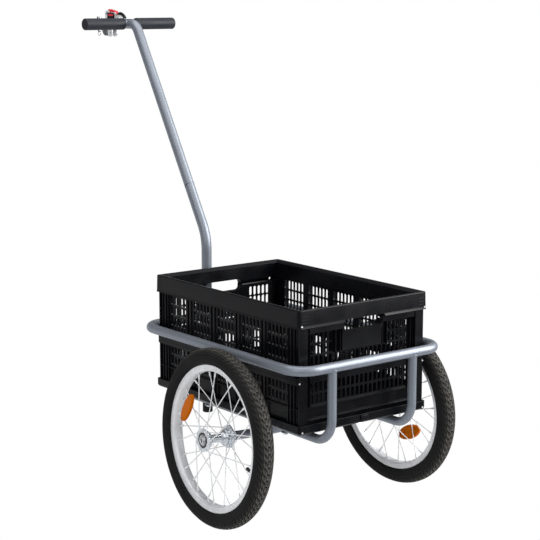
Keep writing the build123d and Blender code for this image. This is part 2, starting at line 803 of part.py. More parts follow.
collar_channel = panel_depth + wall_inset + 2 * panel_clearance + collar_wall
with BuildPart() as crate_collar:
    with BuildSketch(crate_plane(collar_bottom_height)):
        RectangleRounded(crate_top_length + 2 * collar_flare, crate_top_width + 2 * collar_flare, 6)
    with BuildSketch(crate_plane(crate_top_height)):
        RectangleRounded(crate_top_length, crate_top_width, 6)
    loft()
    with BuildSketch(crate_plane(collar_bottom_height)):
        Rectangle(crate_top_length - 2 * collar_channel, crate_top_width - 2 * collar_channel)
    extrude(amount=2 * collar_height, mode=Mode.SUBTRACT)
    with BuildSketch(crate_plane(collar_bottom_height)):
        Rectangle(crate_top_length - 2 * collar_wall, crate_top_width - 2 * collar_wall)
        Rectangle(
            crate_top_length - 2 * (collar_channel - collar_wall),
            crate_top_width - 2 * (collar_channel - collar_wall),
            mode=Mode.SUBTRACT,
        )
    extrude(amount=collar_height - collar_wall, mode=Mode.SUBTRACT)
    # a skirt at each end covers the gap above the end wall's hinge
    for end in (-1, 1):
        with BuildSketch(crate_plane(collar_skirt_height)):
            with Locations((end * (crate_half_length - 1.5 * collar_wall), 0)):
                Rectangle(collar_wall, 2 * collar_skirt_half_width)
        extrude(amount=collar_bottom_height - collar_skirt_height + collar_wall)
    # hand holes arch up into the collar at both ends
    with BuildSketch(Plane.YZ.offset(crate_centre_x)):
        with Locations((0, collar_bottom_height)):
            Trapezoid(2 * handle_half_width + 16, 2 * (handle_top_height - collar_bottom_height), 60)
            Rectangle(
                2 * handle_half_width + collar_wall,
                collar_bottom_height - collar_skirt_height + collar_wall,
                align=(Align.CENTER, Align.MAX),
            )
    extrude(amount=crate_top_length, both=True, mode=Mode.SUBTRACT)

with BuildPart() as crate_base:
    with BuildSketch(crate_plane(crate_bottom_height)):
        RectangleRounded(tray_length, tray_width, 6)
    extrude(amount=tray_height)
    chamfer(faces().sort_by(Axis.Z)[0].edges(), tray_bottom_chamfer)
    with BuildSketch(crate_plane(crate_bottom_height + tray_floor)):
        Rectangle(tray_length - 2 * tray_wall, tray_width - 2 * tray_wall)
    extrude(amount=tray_height, mode=Mode.SUBTRACT)


def side_panel(bottom_height, top_height, slot_top_height, rows, belt_at_top):
    """Half of the left long side: plate, border ribs, corner posts, belt at the fold and slots."""
    height = top_height - bottom_height
    with BuildPart() as panel:
        with BuildSketch(crate_plane(bottom_height)):
            with Locations((0, panel_inner_y)):
                Rectangle(2 * panel_half_length, wall_thickness, align=(Align.CENTER, Align.MIN))
            for end in (-1, 1):
                with Locations((end * panel_half_length, panel_outer_y)):
                    Rectangle(
                        wall_thickness,
                        panel_depth + post_width,
                        align=(Align.MIN if end < 0 else Align.MAX, Align.MAX),
                    )
        extrude(amount=height)
        for low in (bottom_height, top_height - wall_rib_width):
            with BuildSketch(crate_plane(low)):
                with Locations((0, panel_outer_y)):
                    Rectangle(2 * panel_half_length, panel_depth, align=(Align.CENTER, Align.MAX))
            extrude(amount=wall_rib_width)
        belt_bottom = top_height - belt_height if belt_at_top else bottom_height
        with BuildSketch(crate_plane(belt_bottom)):
            with Locations((0, panel_outer_y + belt_depth)):
                Rectangle(2 * panel_half_length, belt_depth + panel_depth, align=(Align.CENTER, Align.MAX))
        extrude(amount=belt_height)
        with BuildSketch(Plane(origin=(crate_centre_x, panel_inner_y - 1, 0), x_dir=(1, 0, 0), z_dir=(0, -1, 0))):
            first_row = slot_top_height - slot_length / 2 - (rows - 1) * slot_pitch_z / 2
            for group in range(side_groups):
                with Locations(((group - (side_groups - 1) / 2) * side_group_pitch, first_row)):
                    with GridLocations(slot_pitch_x, slot_pitch_z, slots_per_group, rows):
                        SlotOverall(slot_length, slot_width, rotation=90)
        extrude(amount=-(wall_thickness + 2), mode=Mode.SUBTRACT)
        # hinge pins pass along the fold and through the end posts
        with BuildSketch(Plane.YZ.offset(crate_centre_x)):
            with Locations((panel_outer_y - 3, side_fold_height)):
                Circle(hinge_pin_radius)
        extrude(amount=crate_top_length, both=True, mode=Mode.SUBTRACT)
        with BuildSketch(Plane(origin=(crate_centre_x, 0, 0), x_dir=(1, 0, 0), z_dir=(0, -1, 0))):
            for end in (-1, 1):
                with Locations((end * end_hinge_x, end_hinge_height)):
                    Circle(hinge_pin_radius)
        extrude(amount=-(panel_inner_y + wall_thickness), mode=Mode.SUBTRACT)
    return panel


end_hinge_x = crate_half_length - end_panel_setback
fold_gap = panel_clearance / 2
side_upper_left = side_panel(
    side_fold_height + fold_gap, crate_top_height - collar_wall - panel_clearance, upper_slot_top_height, 4, False
)
side_lower_left = side_panel(
    crate_bottom_height + tray_floor + panel_clearance, side_fold_height - fold_gap, lower_slot_top_height, 2, True
)

with BuildPart() as side_hinge_pins:
    for side in (-1, 1):
        with BuildSketch(Plane.YZ.offset(crate_centre_x - panel_half_length)):
            with Locations((side * (panel_outer_y - 3), side_fold_height)):
                Circle(hinge_pin_radius)
        extrude(amount=2 * panel_half_length)

end_panel_half_width = panel_inner_y - end_wall_side_clearance
end_panel_bottom = crate_bottom_height + tray_floor + end_wall_floor_clearance
# the third row of slots runs right across, in step with the two rows above it
end_band_top = end_slot_top_height - 2 * slot_pitch_z
with BuildPart() as end_wall_rear:
    hinge_x = crate_centre_x - end_hinge_x
    outer_face_x = crate_centre_x - panel_half_length + wall_thickness + panel_clearance
    inner_face_x = hinge_x + end_hinge_barrel_radius
    end_plate = Plane(origin=(inner_face_x, 0, 0), x_dir=(0, 1, 0), z_dir=(1, 0, 0))
    with BuildSketch(end_plate):
        with Locations((0, end_panel_bottom)):
            Rectangle(
                2 * end_panel_half_width,
                end_hinge_height - end_panel_bottom,
                align=(Align.CENTER, Align.MIN),
            )
    extrude(amount=-wall_thickness)
    with BuildSketch(end_plate):
        with Locations((0, end_panel_bottom)):
            Rectangle(
                2 * end_panel_half_width,
                end_hinge_height - end_panel_bottom,
                align=(Align.CENTER, Align.MIN),
            )
        with Locations((0, end_panel_bottom + wall_rib_width)):
            Rectangle(
                2 * end_panel_half_width - 2 * wall_rib_width,
                end_hinge_height - end_panel_bottom - 2 * wall_rib_width,
                align=(Align.CENTER, Align.MIN),
                mode=Mode.SUBTRACT,
            )
    extrude(amount=-(inner_face_x - outer_face_x))
    with BuildSketch(section):
        with Locations((hinge_x, end_hinge_height)):
            Circle(end_hinge_barrel_radius)
    extrude(amount=end_panel_half_width, both=True)
    with BuildSketch(section):
        with Locations((hinge_x, end_hinge_height)):
            Circle(hinge_pin_radius + running_clearance)
    extrude(amount=2 * end_panel_half_width, both=True, mode=Mode.SUBTRACT)
    # a smooth block behind the hand hole, with a lip along its top, and a seam under the slots
    with BuildSketch(end_plate):
        with Locations((0, end_band_top + hand_panel_gap)):
            Rectangle(
                2 * hand_panel_half_width,
                handle_bottom_height - end_band_top - hand_panel_gap,
                align=(Align.CENTER, Align.MIN),
            )
        with Locations((0, end_seam_height)):
            Rectangle(2 * end_panel_half_width, end_seam_width, align=(Align.CENTER, Align.MIN))
    extrude(amount=-(inner_face_x - outer_face_x))
    with BuildSketch(end_plate):
        with Locations((0, handle_bottom_height)):
            Rectangle(2 * handle_half_width, 60, align=(Align.CENTER, Align.MIN))
        for side in (-1, 1):
            with Locations((side * end_group_centre_y, end_slot_top_height - slot_length / 2 - slot_pitch_z / 2)):
                with GridLocations(slot_pitch_x, slot_pitch_z, end_slots_per_group, 2):
                    SlotOverall(slot_length, slot_width, rotation=90)
        with Locations((0, end_band_top - slot_length / 2)):
            with GridLocations(slot_pitch_x, slot_pitch_z, end_band_slots, 1):
                SlotOverall(slot_length, slot_width, rotation=90)
        with Locations((0, lower_slot_top_height - slot_length / 2 - slot_pitch_z / 2)):
            with GridLocations(slot_pitch_x, slot_pitch_z, end_band_slots, 2):
                SlotOverall(slot_length, slot_width, rotation=90)
    extrude(amount=-20, mode=Mode.SUBTRACT)

with BuildPart() as end_hinge_pins:
    for end in (-1, 1):
        for side in (-1, 1):
            with BuildSketch(Plane(origin=(crate_centre_x + end * end_hinge_x, side * (panel_inner_y + wall_thickness), end_hinge_height), z_dir=(0, -side, 0))):
                Circle(hinge_pin_radius)
            extrude(amount=wall_thickness + end_wall_side_clearance + 14)

# ---------------------------------------------------------------- parked pose and export
crate_mid_plane = Plane.YZ.offset(crate_centre_x)
turning = {
    "tyre": tyre_left,
    "rim": rim_left,
    "hub": hub_left,
    "bearings": bearings_left,
    "spokes": spokes_left,
    "valve": valve_left,
}
left_and_right = {
    "axle_pin": axle_pin_left,
    "cradle_tube": cradle_tube_left,
    "grip": grip_left,
    "crate_side_upper": side_upper_left,
    "crate_side_lower": side_lower_left,
}
single = {
    "rail_loop": rail_loop,
    "axle_tube": axle_tube,
    "front_cross_tube": front_cross_tube,
    "drawbar_socket": drawbar_socket,
    "socket_gussets": socket_gussets,
    "socket_knob": socket_knob,
    "crate_crossbars": crate_crossbars,
    "drawbar_lower": drawbar_lower,
    "drawbar_upper": drawbar_upper,
    "foot_cap": foot_cap,
    "handle_tube": handle_tube,
    "coupling_head": coupling_head,
    "coupling_jaw": coupling_jaw,
    "hitch_pin": hitch_pin,
    "coupling_latch": coupling_latch,
    "release_lever": release_lever,
    "crate_collar": crate_collar,
    "crate_base": crate_base,
    "side_hinge_pins": side_hinge_pins,
    "end_wall_rear": end_wall_rear,
    "end_hinge_pins": end_hinge_pins,
}

level_pieces = {name: sub_part.part for name, sub_part in single.items()}
level_pieces["end_wall_front"] = mirror(end_wall_rear.part, about=crate_mid_plane)
for name, sub_part in turning.items():
    level_pieces[f"{name}_left"] = sub_part.part
    turned = sub_part.part.rotate(wheel_axis, right_wheel_turn)
    level_pieces[f"{name}_right"] = mirror(turned, about=Plane.XZ)
level_pieces["reflector_left"] = reflector_left.part
level_pieces["reflector_right"] = mirrored(reflector_right)
for name, sub_part in left_and_right.items():
    level_pieces[f"{name}_left"] = sub_part.part
    level_pieces[f"{name}_right"] = mirrored(sub_part)

# the trailer tips forward about the axle until the front edge of its foot meets the ground
foot_drop = wheel_radius - drawbar_foot_height
foot_reach = drawbar_x + drawbar_radius - 1.5
park_angle = 0.0
for step in range(5):
    tilt = radians(park_angle)
    axle_lean = axle_direction.Z * cos(tilt) - axle_direction.X * sin(tilt)
    standing_height = torus_radius * (1 - axle_lean**2) ** 0.5 + tyre_section_radius
    foot_distance = hypot(foot_reach, foot_drop)
    park_angle = degrees(atan2(foot_reach, foot_drop) - acos((standing_height - 1.5) / foot_distance))

tipped = Location((0, 0, standing_height), (0, park_angle, 0)) * Location((0, 0, -wheel_radius))
outline = Compound(children=[tipped * piece for piece in level_pieces.values()]).bounding_box()
parked = Location((-outline.center().X, 0, -outline.min.Z)) * tipped
print("park angle", park_angle, "outline", outline.min, outline.max)

for name, piece in level_pieces.items():
    placed = parked * piece
    placed.label = name
    export_step(placed, f"parts/{name}.step")
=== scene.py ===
"""Bicycle cargo trailer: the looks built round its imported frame."""

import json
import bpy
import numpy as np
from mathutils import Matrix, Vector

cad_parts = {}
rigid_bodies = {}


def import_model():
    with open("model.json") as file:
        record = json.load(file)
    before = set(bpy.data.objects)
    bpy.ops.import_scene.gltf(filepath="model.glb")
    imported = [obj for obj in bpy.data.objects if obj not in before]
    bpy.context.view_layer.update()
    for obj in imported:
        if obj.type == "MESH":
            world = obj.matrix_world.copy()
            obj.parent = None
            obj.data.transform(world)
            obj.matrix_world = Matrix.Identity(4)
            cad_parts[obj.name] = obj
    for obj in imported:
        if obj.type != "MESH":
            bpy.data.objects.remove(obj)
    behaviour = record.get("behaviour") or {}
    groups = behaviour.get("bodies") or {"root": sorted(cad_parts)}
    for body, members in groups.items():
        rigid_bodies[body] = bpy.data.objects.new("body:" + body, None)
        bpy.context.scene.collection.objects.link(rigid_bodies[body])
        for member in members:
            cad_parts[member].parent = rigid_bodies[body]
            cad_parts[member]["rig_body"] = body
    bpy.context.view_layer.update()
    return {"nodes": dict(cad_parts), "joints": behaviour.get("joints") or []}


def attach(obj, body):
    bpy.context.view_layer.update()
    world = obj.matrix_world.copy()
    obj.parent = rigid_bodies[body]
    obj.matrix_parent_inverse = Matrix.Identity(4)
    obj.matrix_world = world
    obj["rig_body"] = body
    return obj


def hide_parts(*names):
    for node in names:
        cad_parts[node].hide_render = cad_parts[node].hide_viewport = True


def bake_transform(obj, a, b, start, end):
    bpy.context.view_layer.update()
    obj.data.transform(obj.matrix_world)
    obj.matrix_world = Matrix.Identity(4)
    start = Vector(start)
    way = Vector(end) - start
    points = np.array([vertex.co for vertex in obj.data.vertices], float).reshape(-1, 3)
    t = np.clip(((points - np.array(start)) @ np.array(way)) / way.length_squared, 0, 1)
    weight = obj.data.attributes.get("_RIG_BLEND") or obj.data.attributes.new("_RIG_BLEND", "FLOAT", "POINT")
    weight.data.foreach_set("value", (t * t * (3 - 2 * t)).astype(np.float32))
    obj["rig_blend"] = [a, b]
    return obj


bl_info = {
    "name": "Bicycle cargo trailer",
    "version": (1, 0, 0),
    "blender": (4, 5, 0),
    "location": "3D View > Sidebar > Trailer",
    "description": "Tyres, rims, crate, coupling and finishes of a bicycle cargo trailer with its studio stage",
    "category": "Object",
}

from math import atan2, cos, pi, radians, sin, sqrt, tan

import bmesh
import bpy
from bpy.props import FloatProperty, FloatVectorProperty, IntProperty, PointerProperty
from mathutils import Matrix, Vector

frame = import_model()
NODES = frame["nodes"]
JOINTS = {joint["name"]: joint for joint in frame["joints"]}
MM = 0.001
HUB_HEIGHT = 0.2  # of the level trailer, in metres
SIDES = ("left", "right")


# ---------------------------------------------------------------- places
def level_matrix():
    """From the level trailer, x forward, y left, z up from the ground under the axle, to its parked place."""
    forward = Vector(JOINTS["coupling_swivel"]["axis"]).normalized()
    left = Vector((0, 1, 0))
    up = forward.cross(left)
    hubs = [Vector(JOINTS[f"wheel_{side}_turn"]["pos_m"]) for side in SIDES]
    turn = Matrix((forward, left, up)).transposed().to_4x4()
    middle = (hubs[0] + hubs[1]) / 2
    return Matrix.Translation(middle) @ turn @ Matrix.Translation((0, 0, -HUB_HEIGHT))


PARKED = level_matrix()


def level(x, y, z):
    """A point given in millimetres on the level trailer, as a parked point in metres."""
    return PARKED @ Vector((x * MM, y * MM, z * MM))


def level_turn(direction):
    """A direction of the level trailer, parked."""
    return PARKED.to_3x3() @ Vector(direction)


def wheel_matrix(side):
    """A wheel's own axes: x out along the axle, z up, origin in the middle of the hub."""
    joint = JOINTS[f"wheel_{side}_turn"]
    out = Vector(joint["axis"]).normalized() * (1 if side == "left" else -1)
    up = level_turn((0, 0, 1))
    up = (up - out * up.dot(out)).normalized()
    back = up.cross(out)
    turn = Matrix((out, back, up)).transposed().to_4x4()
    return Matrix.Translation(Vector(joint["pos_m"])) @ turn


WHEELS = {side: wheel_matrix(side) for side in SIDES}
FORWARD_SIGN = {"left": -1, "right": 1}


# ---------------------------------------------------------------- settings
def tint(name, description, default):
    """A colour setting."""
    return FloatVectorProperty(name=name, description=description, default=default, subtype="COLOR", size=3)


def small_length(name, description, default):
    """A small length, in metres."""
    return FloatProperty(name=name, description=description, default=default, unit="LENGTH")


def amount(name, description, default):
    """A setting that isn't negative."""
    return FloatProperty(name=name, description=description, default=default, min=0.0)


class WheelSettings(bpy.types.PropertyGroup):
    """Tyres, rims, hubs and what is fixed to the spokes."""

    tread_blocks: IntProperty(
        name="Tread blocks", description="Tread rows round the tyre", default=84, min=40, max=200,
    )
    tread_depth: small_length("Tread depth", "Height of the tread blocks", 0.0013)
    rubber: tint("Rubber", "Colour of the tyre's side", (0.0105, 0.0105, 0.011))
    # the tread's dust colour, which also serves as a painted highlight along one edge of each tread block
    tread_dust_and_highlight: tint("Tread dust", "Colour of the worn tread", (0.105, 0.100, 0.088))
    rim_metal: tint("Rim", "Colour of the rim's aluminium", (0.84, 0.85, 0.87))
    amber: tint("Reflector", "Colour of the reflectors", (0.49, 0.112, 0.0))


class FrameSettings(bpy.types.PropertyGroup):
    """Tubes, drawbar, handle and coupling."""

    paint: tint("Paint", "Colour of the tubes' metallic paint", (0.235, 0.26, 0.305))
    zinc: tint("Zinc plate", "Colour of plated steel", (0.84, 0.90, 0.95))
    grip: tint("Grips", "Colour of the grips", (0.018, 0.019, 0.026))
    lever: tint("Lever", "Colour of the release lever", (0.62, 0.02, 0.035))
    weld_height: small_length("Weld height", "How far a weld bead stands out", 0.0016)


class CrateSettings(bpy.types.PropertyGroup):
    """The folding crate."""

    plastic: tint("Plastic", "Colour of the crate", (0.0030, 0.0032, 0.0046))
    edge_round: small_length("Edge rounding", "Radius of the moulded edges", 0.0011)


class StageSettings(bpy.types.PropertyGroup):
    """Floor, light and camera."""

    floor_colour: tint("Floor", "Colour of the floor", (0.86, 0.86, 0.87))
    key_power: amount("Key light", "Power of the main lamp in watts", 108.0)
    fill_power: amount("Fill light", "Power of the weaker lamp in watts", 16.0)
    top_power: amount("Top light", "Power of the lamp overhead in watts", 22.0)
    sky: amount("Sky", "Strength of the even light from all round", 0.70)
    bright_side: FloatProperty(
        name="Bright side",
        description="Heading of the bright half of the studio, in degrees from the trailer's front", default=-125.0,
    )
    dark_side: FloatProperty(
        name="Dark side", description="How bright the dark half of the studio looks in gloss", default=0.12,
        min=0.0, max=1.0,
    )
    lens: FloatProperty(
        name="Lens", description="Focal length of the camera in millimetres", default=102.07, min=10.0,
    )


# ---------------------------------------------------------------- shader groups
def new_group(name, inputs, outputs):
    """An empty shader node group with float, colour or vector sockets."""
    group = bpy.data.node_groups.new(name, "ShaderNodeTree")
    kinds = {"f": "NodeSocketFloat", "c": "NodeSocketColor", "v": "NodeSocketVector"}
    for label, kind, default in inputs:
        socket = group.interface.new_socket(label, in_out="INPUT", socket_type=kinds[kind])
        if default is not None:
            socket.default_value = default
    for label, kind in outputs:
        group.interface.new_socket(label, in_out="OUTPUT", socket_type=kinds[kind])
    return group, group.nodes.new("NodeGroupInput"), group.nodes.new("NodeGroupOutput")


def feed(made, **inputs):
    """Sets a node's sockets from values or links; i0 and i1 name a socket by its place."""
    for label, value in inputs.items():
        by_place = label[0] == "i" and label[1:].isdigit()
        socket = made.inputs[int(label[1:]) if by_place else label.replace("_", " ")]
        if isinstance(value, bpy.types.NodeSocket):
            made.id_data.links.new(value, socket)
        else:
            socket.default_value = value
    return made


def node(tree, kind, settings=(), **inputs):
    """A new node with its properties set from settings and its sockets fed."""
    made = tree.nodes.new(kind)
    for key, value in dict(settings).items():
        setattr(made, key, value)
    return feed(made, **inputs)


def ramp(tree, factor, low, high):
    """Maps a factor from low..high to 0..1, smoothly."""
    mapping = {"interpolation_type": "SMOOTHSTEP"}
    return node(tree, "ShaderNodeMapRange", mapping, Value=factor, From_Min=low, From_Max=high).outputs["Result"]


def spread(tree, factor, low, high):
    """Maps a factor from 0..1 to low..high."""
    return node(tree, "ShaderNodeMapRange", Value=factor, To_Min=low, To_Max=high).outputs["Result"]


def combine(tree, operation, first, second):
    """The result of a math node on two values or links."""
    return node(tree, "ShaderNodeMath", {"operation": operation}, i0=first, i1=second).outputs[0]


def mix_colour(tree, factor, first, second):
    """A mix of two colours, each a link or three values."""
    made = node(tree, "ShaderNodeMix", {"data_type": "RGBA"}, Factor=factor)
    for label, value in (("A", first), ("B", second)):
        feed(made, **{label: value if isinstance(value, bpy.types.NodeSocket) else (*value, 1)})
    return made.outputs["Result"]


def grain_group():
    """Fine moulded or sprayed grain: a height, and a slow mottle for colour and roughness."""
    group, given, result = new_group(
        "Fine grain",
        [("Scale", "f", 900.0), ("Mottle scale", "f", 9.0), ("Vector", "v", None)],
        [("Height", "f"), ("Mottle", "f")],
    )
    where = given.outputs["Vector"]
    fine = node(group, "ShaderNodeTexNoise", Vector=where, Scale=given.outputs["Scale"], Detail=3.0)
    slow = node(
        group, "ShaderNodeTexNoise", Vector=where, Scale=given.outputs["Mottle scale"], Detail=1.0, Roughness=0.6,
    )
    feed(result, Height=fine.outputs["Fac"], Mottle=ramp(group, slow.outputs["Fac"], 0.3, 0.7))
    return group


def dust_group():
    """Dust that settles on faces that look up, broken up by noise."""
    group, given, result = new_group("Settled dust", [("Amount", "f", 0.3), ("Vector", "v", None)], [("Dust", "f")])
    normal = group.nodes.new("ShaderNodeNewGeometry").outputs["Normal"]
    upward = node(group, "ShaderNodeSeparateXYZ", Vector=normal).outputs["Z"]
    cloud = node(group, "ShaderNodeTexNoise", Vector=given.outputs["Vector"], Scale=24.0, Detail=2.0)
    broken = combine(group, "MULTIPLY", ramp(group, upward, 0.2, 1.0), ramp(group, cloud.outputs["Fac"], 0.35, 0.7))
    feed(result, Dust=combine(group, "MULTIPLY", broken, given.outputs["Amount"]))
    return group


def scratch_group():
    """Hairline scratches and handling marks on metal."""
    group, given, result = new_group(
        "Hairlines", [("Scale", "f", 60.0), ("Vector", "v", None)], [("Marks", "f"), ("Height", "f")],
    )
    stretched = node(
        group, "ShaderNodeMapping", Vector=given.outputs["Vector"], Scale=(1.0, 7.0, 1.0),
    ).outputs["Vector"]
    lines = node(
        group, "ShaderNodeTexNoise", Vector=stretched, Scale=given.outputs["Scale"], Detail=3.0, Roughness=0.6,
    )
    feed(result, Marks=ramp(group, lines.outputs["Fac"], 0.45, 0.62), Height=lines.outputs["Fac"])
    return group


GROUP_MAKERS = {"grain": grain_group, "dust": dust_group, "scratch": scratch_group}
GROUPS = {}


def use_group(tree, name, where, **inputs):
    """The outputs of a shared group, placed in a material on the coordinates given."""
    if name not in GROUPS:
        GROUPS[name] = GROUP_MAKERS[name]()
    return node(tree, "ShaderNodeGroup", {"node_tree": GROUPS[name]}, Vector=where, **inputs).outputs


# ---------------------------------------------------------------- materials
def blank_material(name):
    """A material with its tree, its Principled shader and the Object coordinates."""
    made = bpy.data.materials.new(name)
    made.use_nodes = True
    tree = made.node_tree
    return made, tree, tree.nodes["Principled BSDF"], tree.nodes.new("ShaderNodeTexCoord").outputs["Object"]


def shade(colour, factor):
    """A colour made darker or lighter."""
    return tuple(min(1, factor * channel) for channel in colour)


def bump(tree, height, strength, distance):
    """A shader's normal, bent by a height."""
    return node(tree, "ShaderNodeBump", Height=height, Strength=strength, Distance=distance).outputs["Normal"]


def paint_material(colour):
    """Metallic powder coat: faint mottle, a little dust and a thin clear coat."""
    made, tree, shader, where = blank_material("metallic_powder_coat")
    mottle = use_group(tree, "grain", where, Mottle_scale=10.0)["Mottle"]
    dust = use_group(tree, "dust", where, Amount=0.06)["Dust"]
    base = mix_colour(tree, mottle, shade(colour, 0.97), shade(colour, 1.03))
    feed(
        shader, Base_Color=mix_colour(tree, dust, base, (0.42, 0.42, 0.41)), Metallic=0.5,
        Roughness=spread(tree, mottle, 0.38, 0.42), Coat_Weight=0.15, Coat_Roughness=0.15,
    )
    return made


def plated_material(name, colour, rough_low, rough_high, strength, metallic=0.9):
    """Bright metal with hairlines."""
    made, tree, shader, where = blank_material(name)
    lines = use_group(tree, "scratch", where, Scale=70.0)
    mottle = use_group(tree, "grain", where, Scale=700.0, Mottle_scale=40.0)["Mottle"]
    base = mix_colour(tree, mottle, shade(colour, 0.86), colour)
    feed(
        shader, Base_Color=mix_colour(tree, lines["Marks"], base, shade(colour, 0.93)), Metallic=metallic,
        Roughness=spread(tree, lines["Marks"], rough_low, rough_high),
        Normal=bump(tree, lines["Height"], strength, 0.0002),
    )
    return made


def plastic_material(name, colour, rough=0.6, specular=0.2, dust=0.08, grain_scale=1800.0, strength=0.25):
    """Moulded plastic with spark-eroded grain and a little dust."""
    made, tree, shader, where = blank_material(name)
    grain = use_group(tree, "grain", where, Scale=grain_scale, Mottle_scale=16.0)
    settled = use_group(tree, "dust", where, Amount=dust)["Dust"]
    base = mix_colour(tree, grain["Mottle"], shade(colour, 0.85), shade(colour, 1.15))
    feed(
        shader, Base_Color=mix_colour(tree, settled, base, (0.16, 0.155, 0.15)), Specular_IOR_Level=specular,
        Roughness=spread(tree, grain["Mottle"], rough - 0.06, rough + 0.06),
        Normal=bump(tree, grain["Height"], strength, 0.00015),
    )
    return made


def rubber_material(colour, dust_and_highlight_colour):
    """Tyre rubber: matt black, greyer and dustier where the tread stands out, and lighter along one edge of each
    block as a painted highlight.
    """
    made, tree, shader, where = blank_material("tyre_rubber")
    grain = use_group(tree, "grain", where, Scale=1100.0, Mottle_scale=22.0)
    band = node(tree, "ShaderNodeAttribute", {"attribute_name": "tread"}).outputs["Fac"]
    cloud = node(tree, "ShaderNodeTexNoise", Vector=where, Scale=60.0, Detail=4.0).outputs["Fac"]
    # the tread mask holds the blocks' dust and a painted highlight along one edge of each block
    dust_and_highlight = combine(tree, "MULTIPLY", band, spread(tree, ramp(tree, cloud, 0.3, 0.75), 0.65, 1.0))
    base = mix_colour(tree, grain["Mottle"], shade(colour, 0.8), shade(colour, 1.2))
    feed(
        shader, Base_Color=mix_colour(tree, dust_and_highlight, base, dust_and_highlight_colour), Specular_IOR_Level=0.14,
        Roughness=spread(tree, grain["Mottle"], 0.62, 0.78), Normal=bump(tree, grain["Height"], 0.25, 0.0002),
    )
    return made


def reflector_material(colour):
    """Amber lens with a grid of small prisms behind its skin."""
    made, tree, shader, where = blank_material("amber_lens")
    pattern = {"feature": "F1", "distance": "CHEBYCHEV"}
    prisms = node(
        tree, "ShaderNodeTexVoronoi", pattern, Vector=where, Scale=420.0, Randomness=0.0,
    ).outputs["Distance"]
    edge = ramp(tree, prisms, 0.25, 0.5)
    feed(
        shader, Base_Color=mix_colour(tree, edge, shade(colour, 1.08), shade(colour, 0.86)), Roughness=0.32,
        Specular_IOR_Level=0.03, Normal=bump(tree, prisms, 0.12, 0.0003),
    )
    return made


# the materials made so far, by finish
MATERIALS = {}


def material(name):
    """The finishes by name, each made once."""
    if name in MATERIALS:
        return MATERIALS[name]
    scene = bpy.context.scene
    wheel, body, crate = scene.trailer_wheels, scene.trailer_frame, scene.trailer_crate
    makers = {
        "paint": lambda: paint_material(tuple(body.paint)),
        "zinc": lambda: plated_material("zinc_plate", tuple(body.zinc), 0.14, 0.22, 0.01, 0.8),
        "spoke": lambda: plated_material("galvanised_wire", (0.90, 0.91, 0.93), 0.3, 0.4, 0.0, 0.35),
        "bright": lambda: plated_material("bright_steel", (0.74, 0.76, 0.78), 0.18, 0.3, 0.06),
        "pale": lambda: plastic_material("pale_nylon", (0.62, 0.63, 0.62), 0.4, 0.4, 0.02, 900.0, 0.1),
        "steel": lambda: plated_material("bare_steel", (0.36, 0.38, 0.39), 0.28, 0.42, 0.15),
        "rim": lambda: plated_material("satin_aluminium", tuple(wheel.rim_metal), 0.34, 0.42, 0.01, 0.4),
        "rubber": lambda: rubber_material(tuple(wheel.rubber), tuple(wheel.tread_dust_and_highlight)),
        "amber": lambda: reflector_material(tuple(wheel.amber)),
        "crate": lambda: plastic_material("crate_plastic", tuple(crate.plastic), 0.30, 0.20, 0.0, 1500.0, 0.02),
        "grip": lambda: plastic_material("grip_plastic", tuple(body.grip), 0.45, 0.25, 0.0, 1100.0, 0.03),
        "foot": lambda: plastic_material("foot_plastic", (0.016, 0.016, 0.018), 0.6, 0.15, 0.05, 1200.0, 0.1),
        "black": lambda: plastic_material("black_plastic", (0.008, 0.008, 0.009), 0.45, 0.3, 0.04),
        "seal": lambda: plastic_material("bearing_seal", (0.02, 0.02, 0.021), 0.5, 0.3, 0.05),
        "red": lambda: plastic_material("red_plastic", tuple(body.lever), 0.35, 0.5, 0.05, 900.0, 0.12),
    }
    MATERIALS[name] = makers[name]()
    return MATERIALS[name]


# ---------------------------------------------------------------- mesh helpers
MOULDED_EDGE = 32  # degrees between two faces, beyond which their edge is rounded


def finish_piece(bm, name, body, finish, place=PARKED, replaces=(), slot=None, smooth=35):
    """Turns a bmesh into a finished piece at the origin that rides on a CAD body, if one is named."""
    if place is not None:
        bmesh.ops.transform(bm, matrix=place, verts=bm.verts)
    bmesh.ops.recalc_face_normals(bm, faces=bm.faces)
    mesh = bpy.data.meshes.new(name)
    bm.to_mesh(mesh)
    bm.free()
    made = bpy.data.objects.new(name, mesh)
    bpy.context.scene.collection.objects.link(made)
    mesh.materials.append(material(finish))
    mesh.shade_smooth()
    mesh.set_sharp_from_angle(angle=radians(smooth))
    if body:
        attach(made, body)
    if replaces:
        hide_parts(*replaces)
    return made


def spin_profile(bm, points, steps, closed=True):
    """Spins a profile of (along, radius) points about the x axis, as a loop or as an open line."""
    verts = [bm.verts.new((along, 0, radius)) for along, radius in points]
    pairs = list(zip(verts, verts[1:])) + ([(verts[-1], verts[0])] if closed else [])
    edges = [bm.edges.new(pair) for pair in pairs]
    bmesh.ops.spin(
        bm, geom=verts + edges, cent=(0, 0, 0), axis=(1, 0, 0), angle=2 * pi, steps=steps, use_merge=True,
    )
    bmesh.ops.remove_doubles(bm, verts=bm.verts, dist=1e-6)


def span(hand, first, second, middle=0.0):
    """Two distances from a middle on its low (-1) or high (1) hand, in rising order."""
    return sorted((middle + hand * first, middle + hand * second))


def edges_of(verts, angle=0.0):
    """The edges at some vertices whose faces turn by more than an angle in radians, in a steady order."""
    edges = dict.fromkeys(edge for vert in verts for edge in vert.link_edges)
    return [edge for edge in edges if abs(edge.calc_face_angle(0)) > angle]


def add_box(bm, low, high, bevel, segments=2):
    """A box between two corners in metres, with its edges rounded."""
    low, high = Vector(low), Vector(high)
    size = high - low
    made = bmesh.ops.create_cube(
        bm, size=1.0, matrix=Matrix.Translation((low + high) / 2) @ Matrix.Diagonal((*size, 1)),
    )
    edges = edges_of(made["verts"])
    bmesh.ops.bevel(bm, geom=edges, offset=bevel, segments=segments, profile=0.5, affect="EDGES", material=-1)


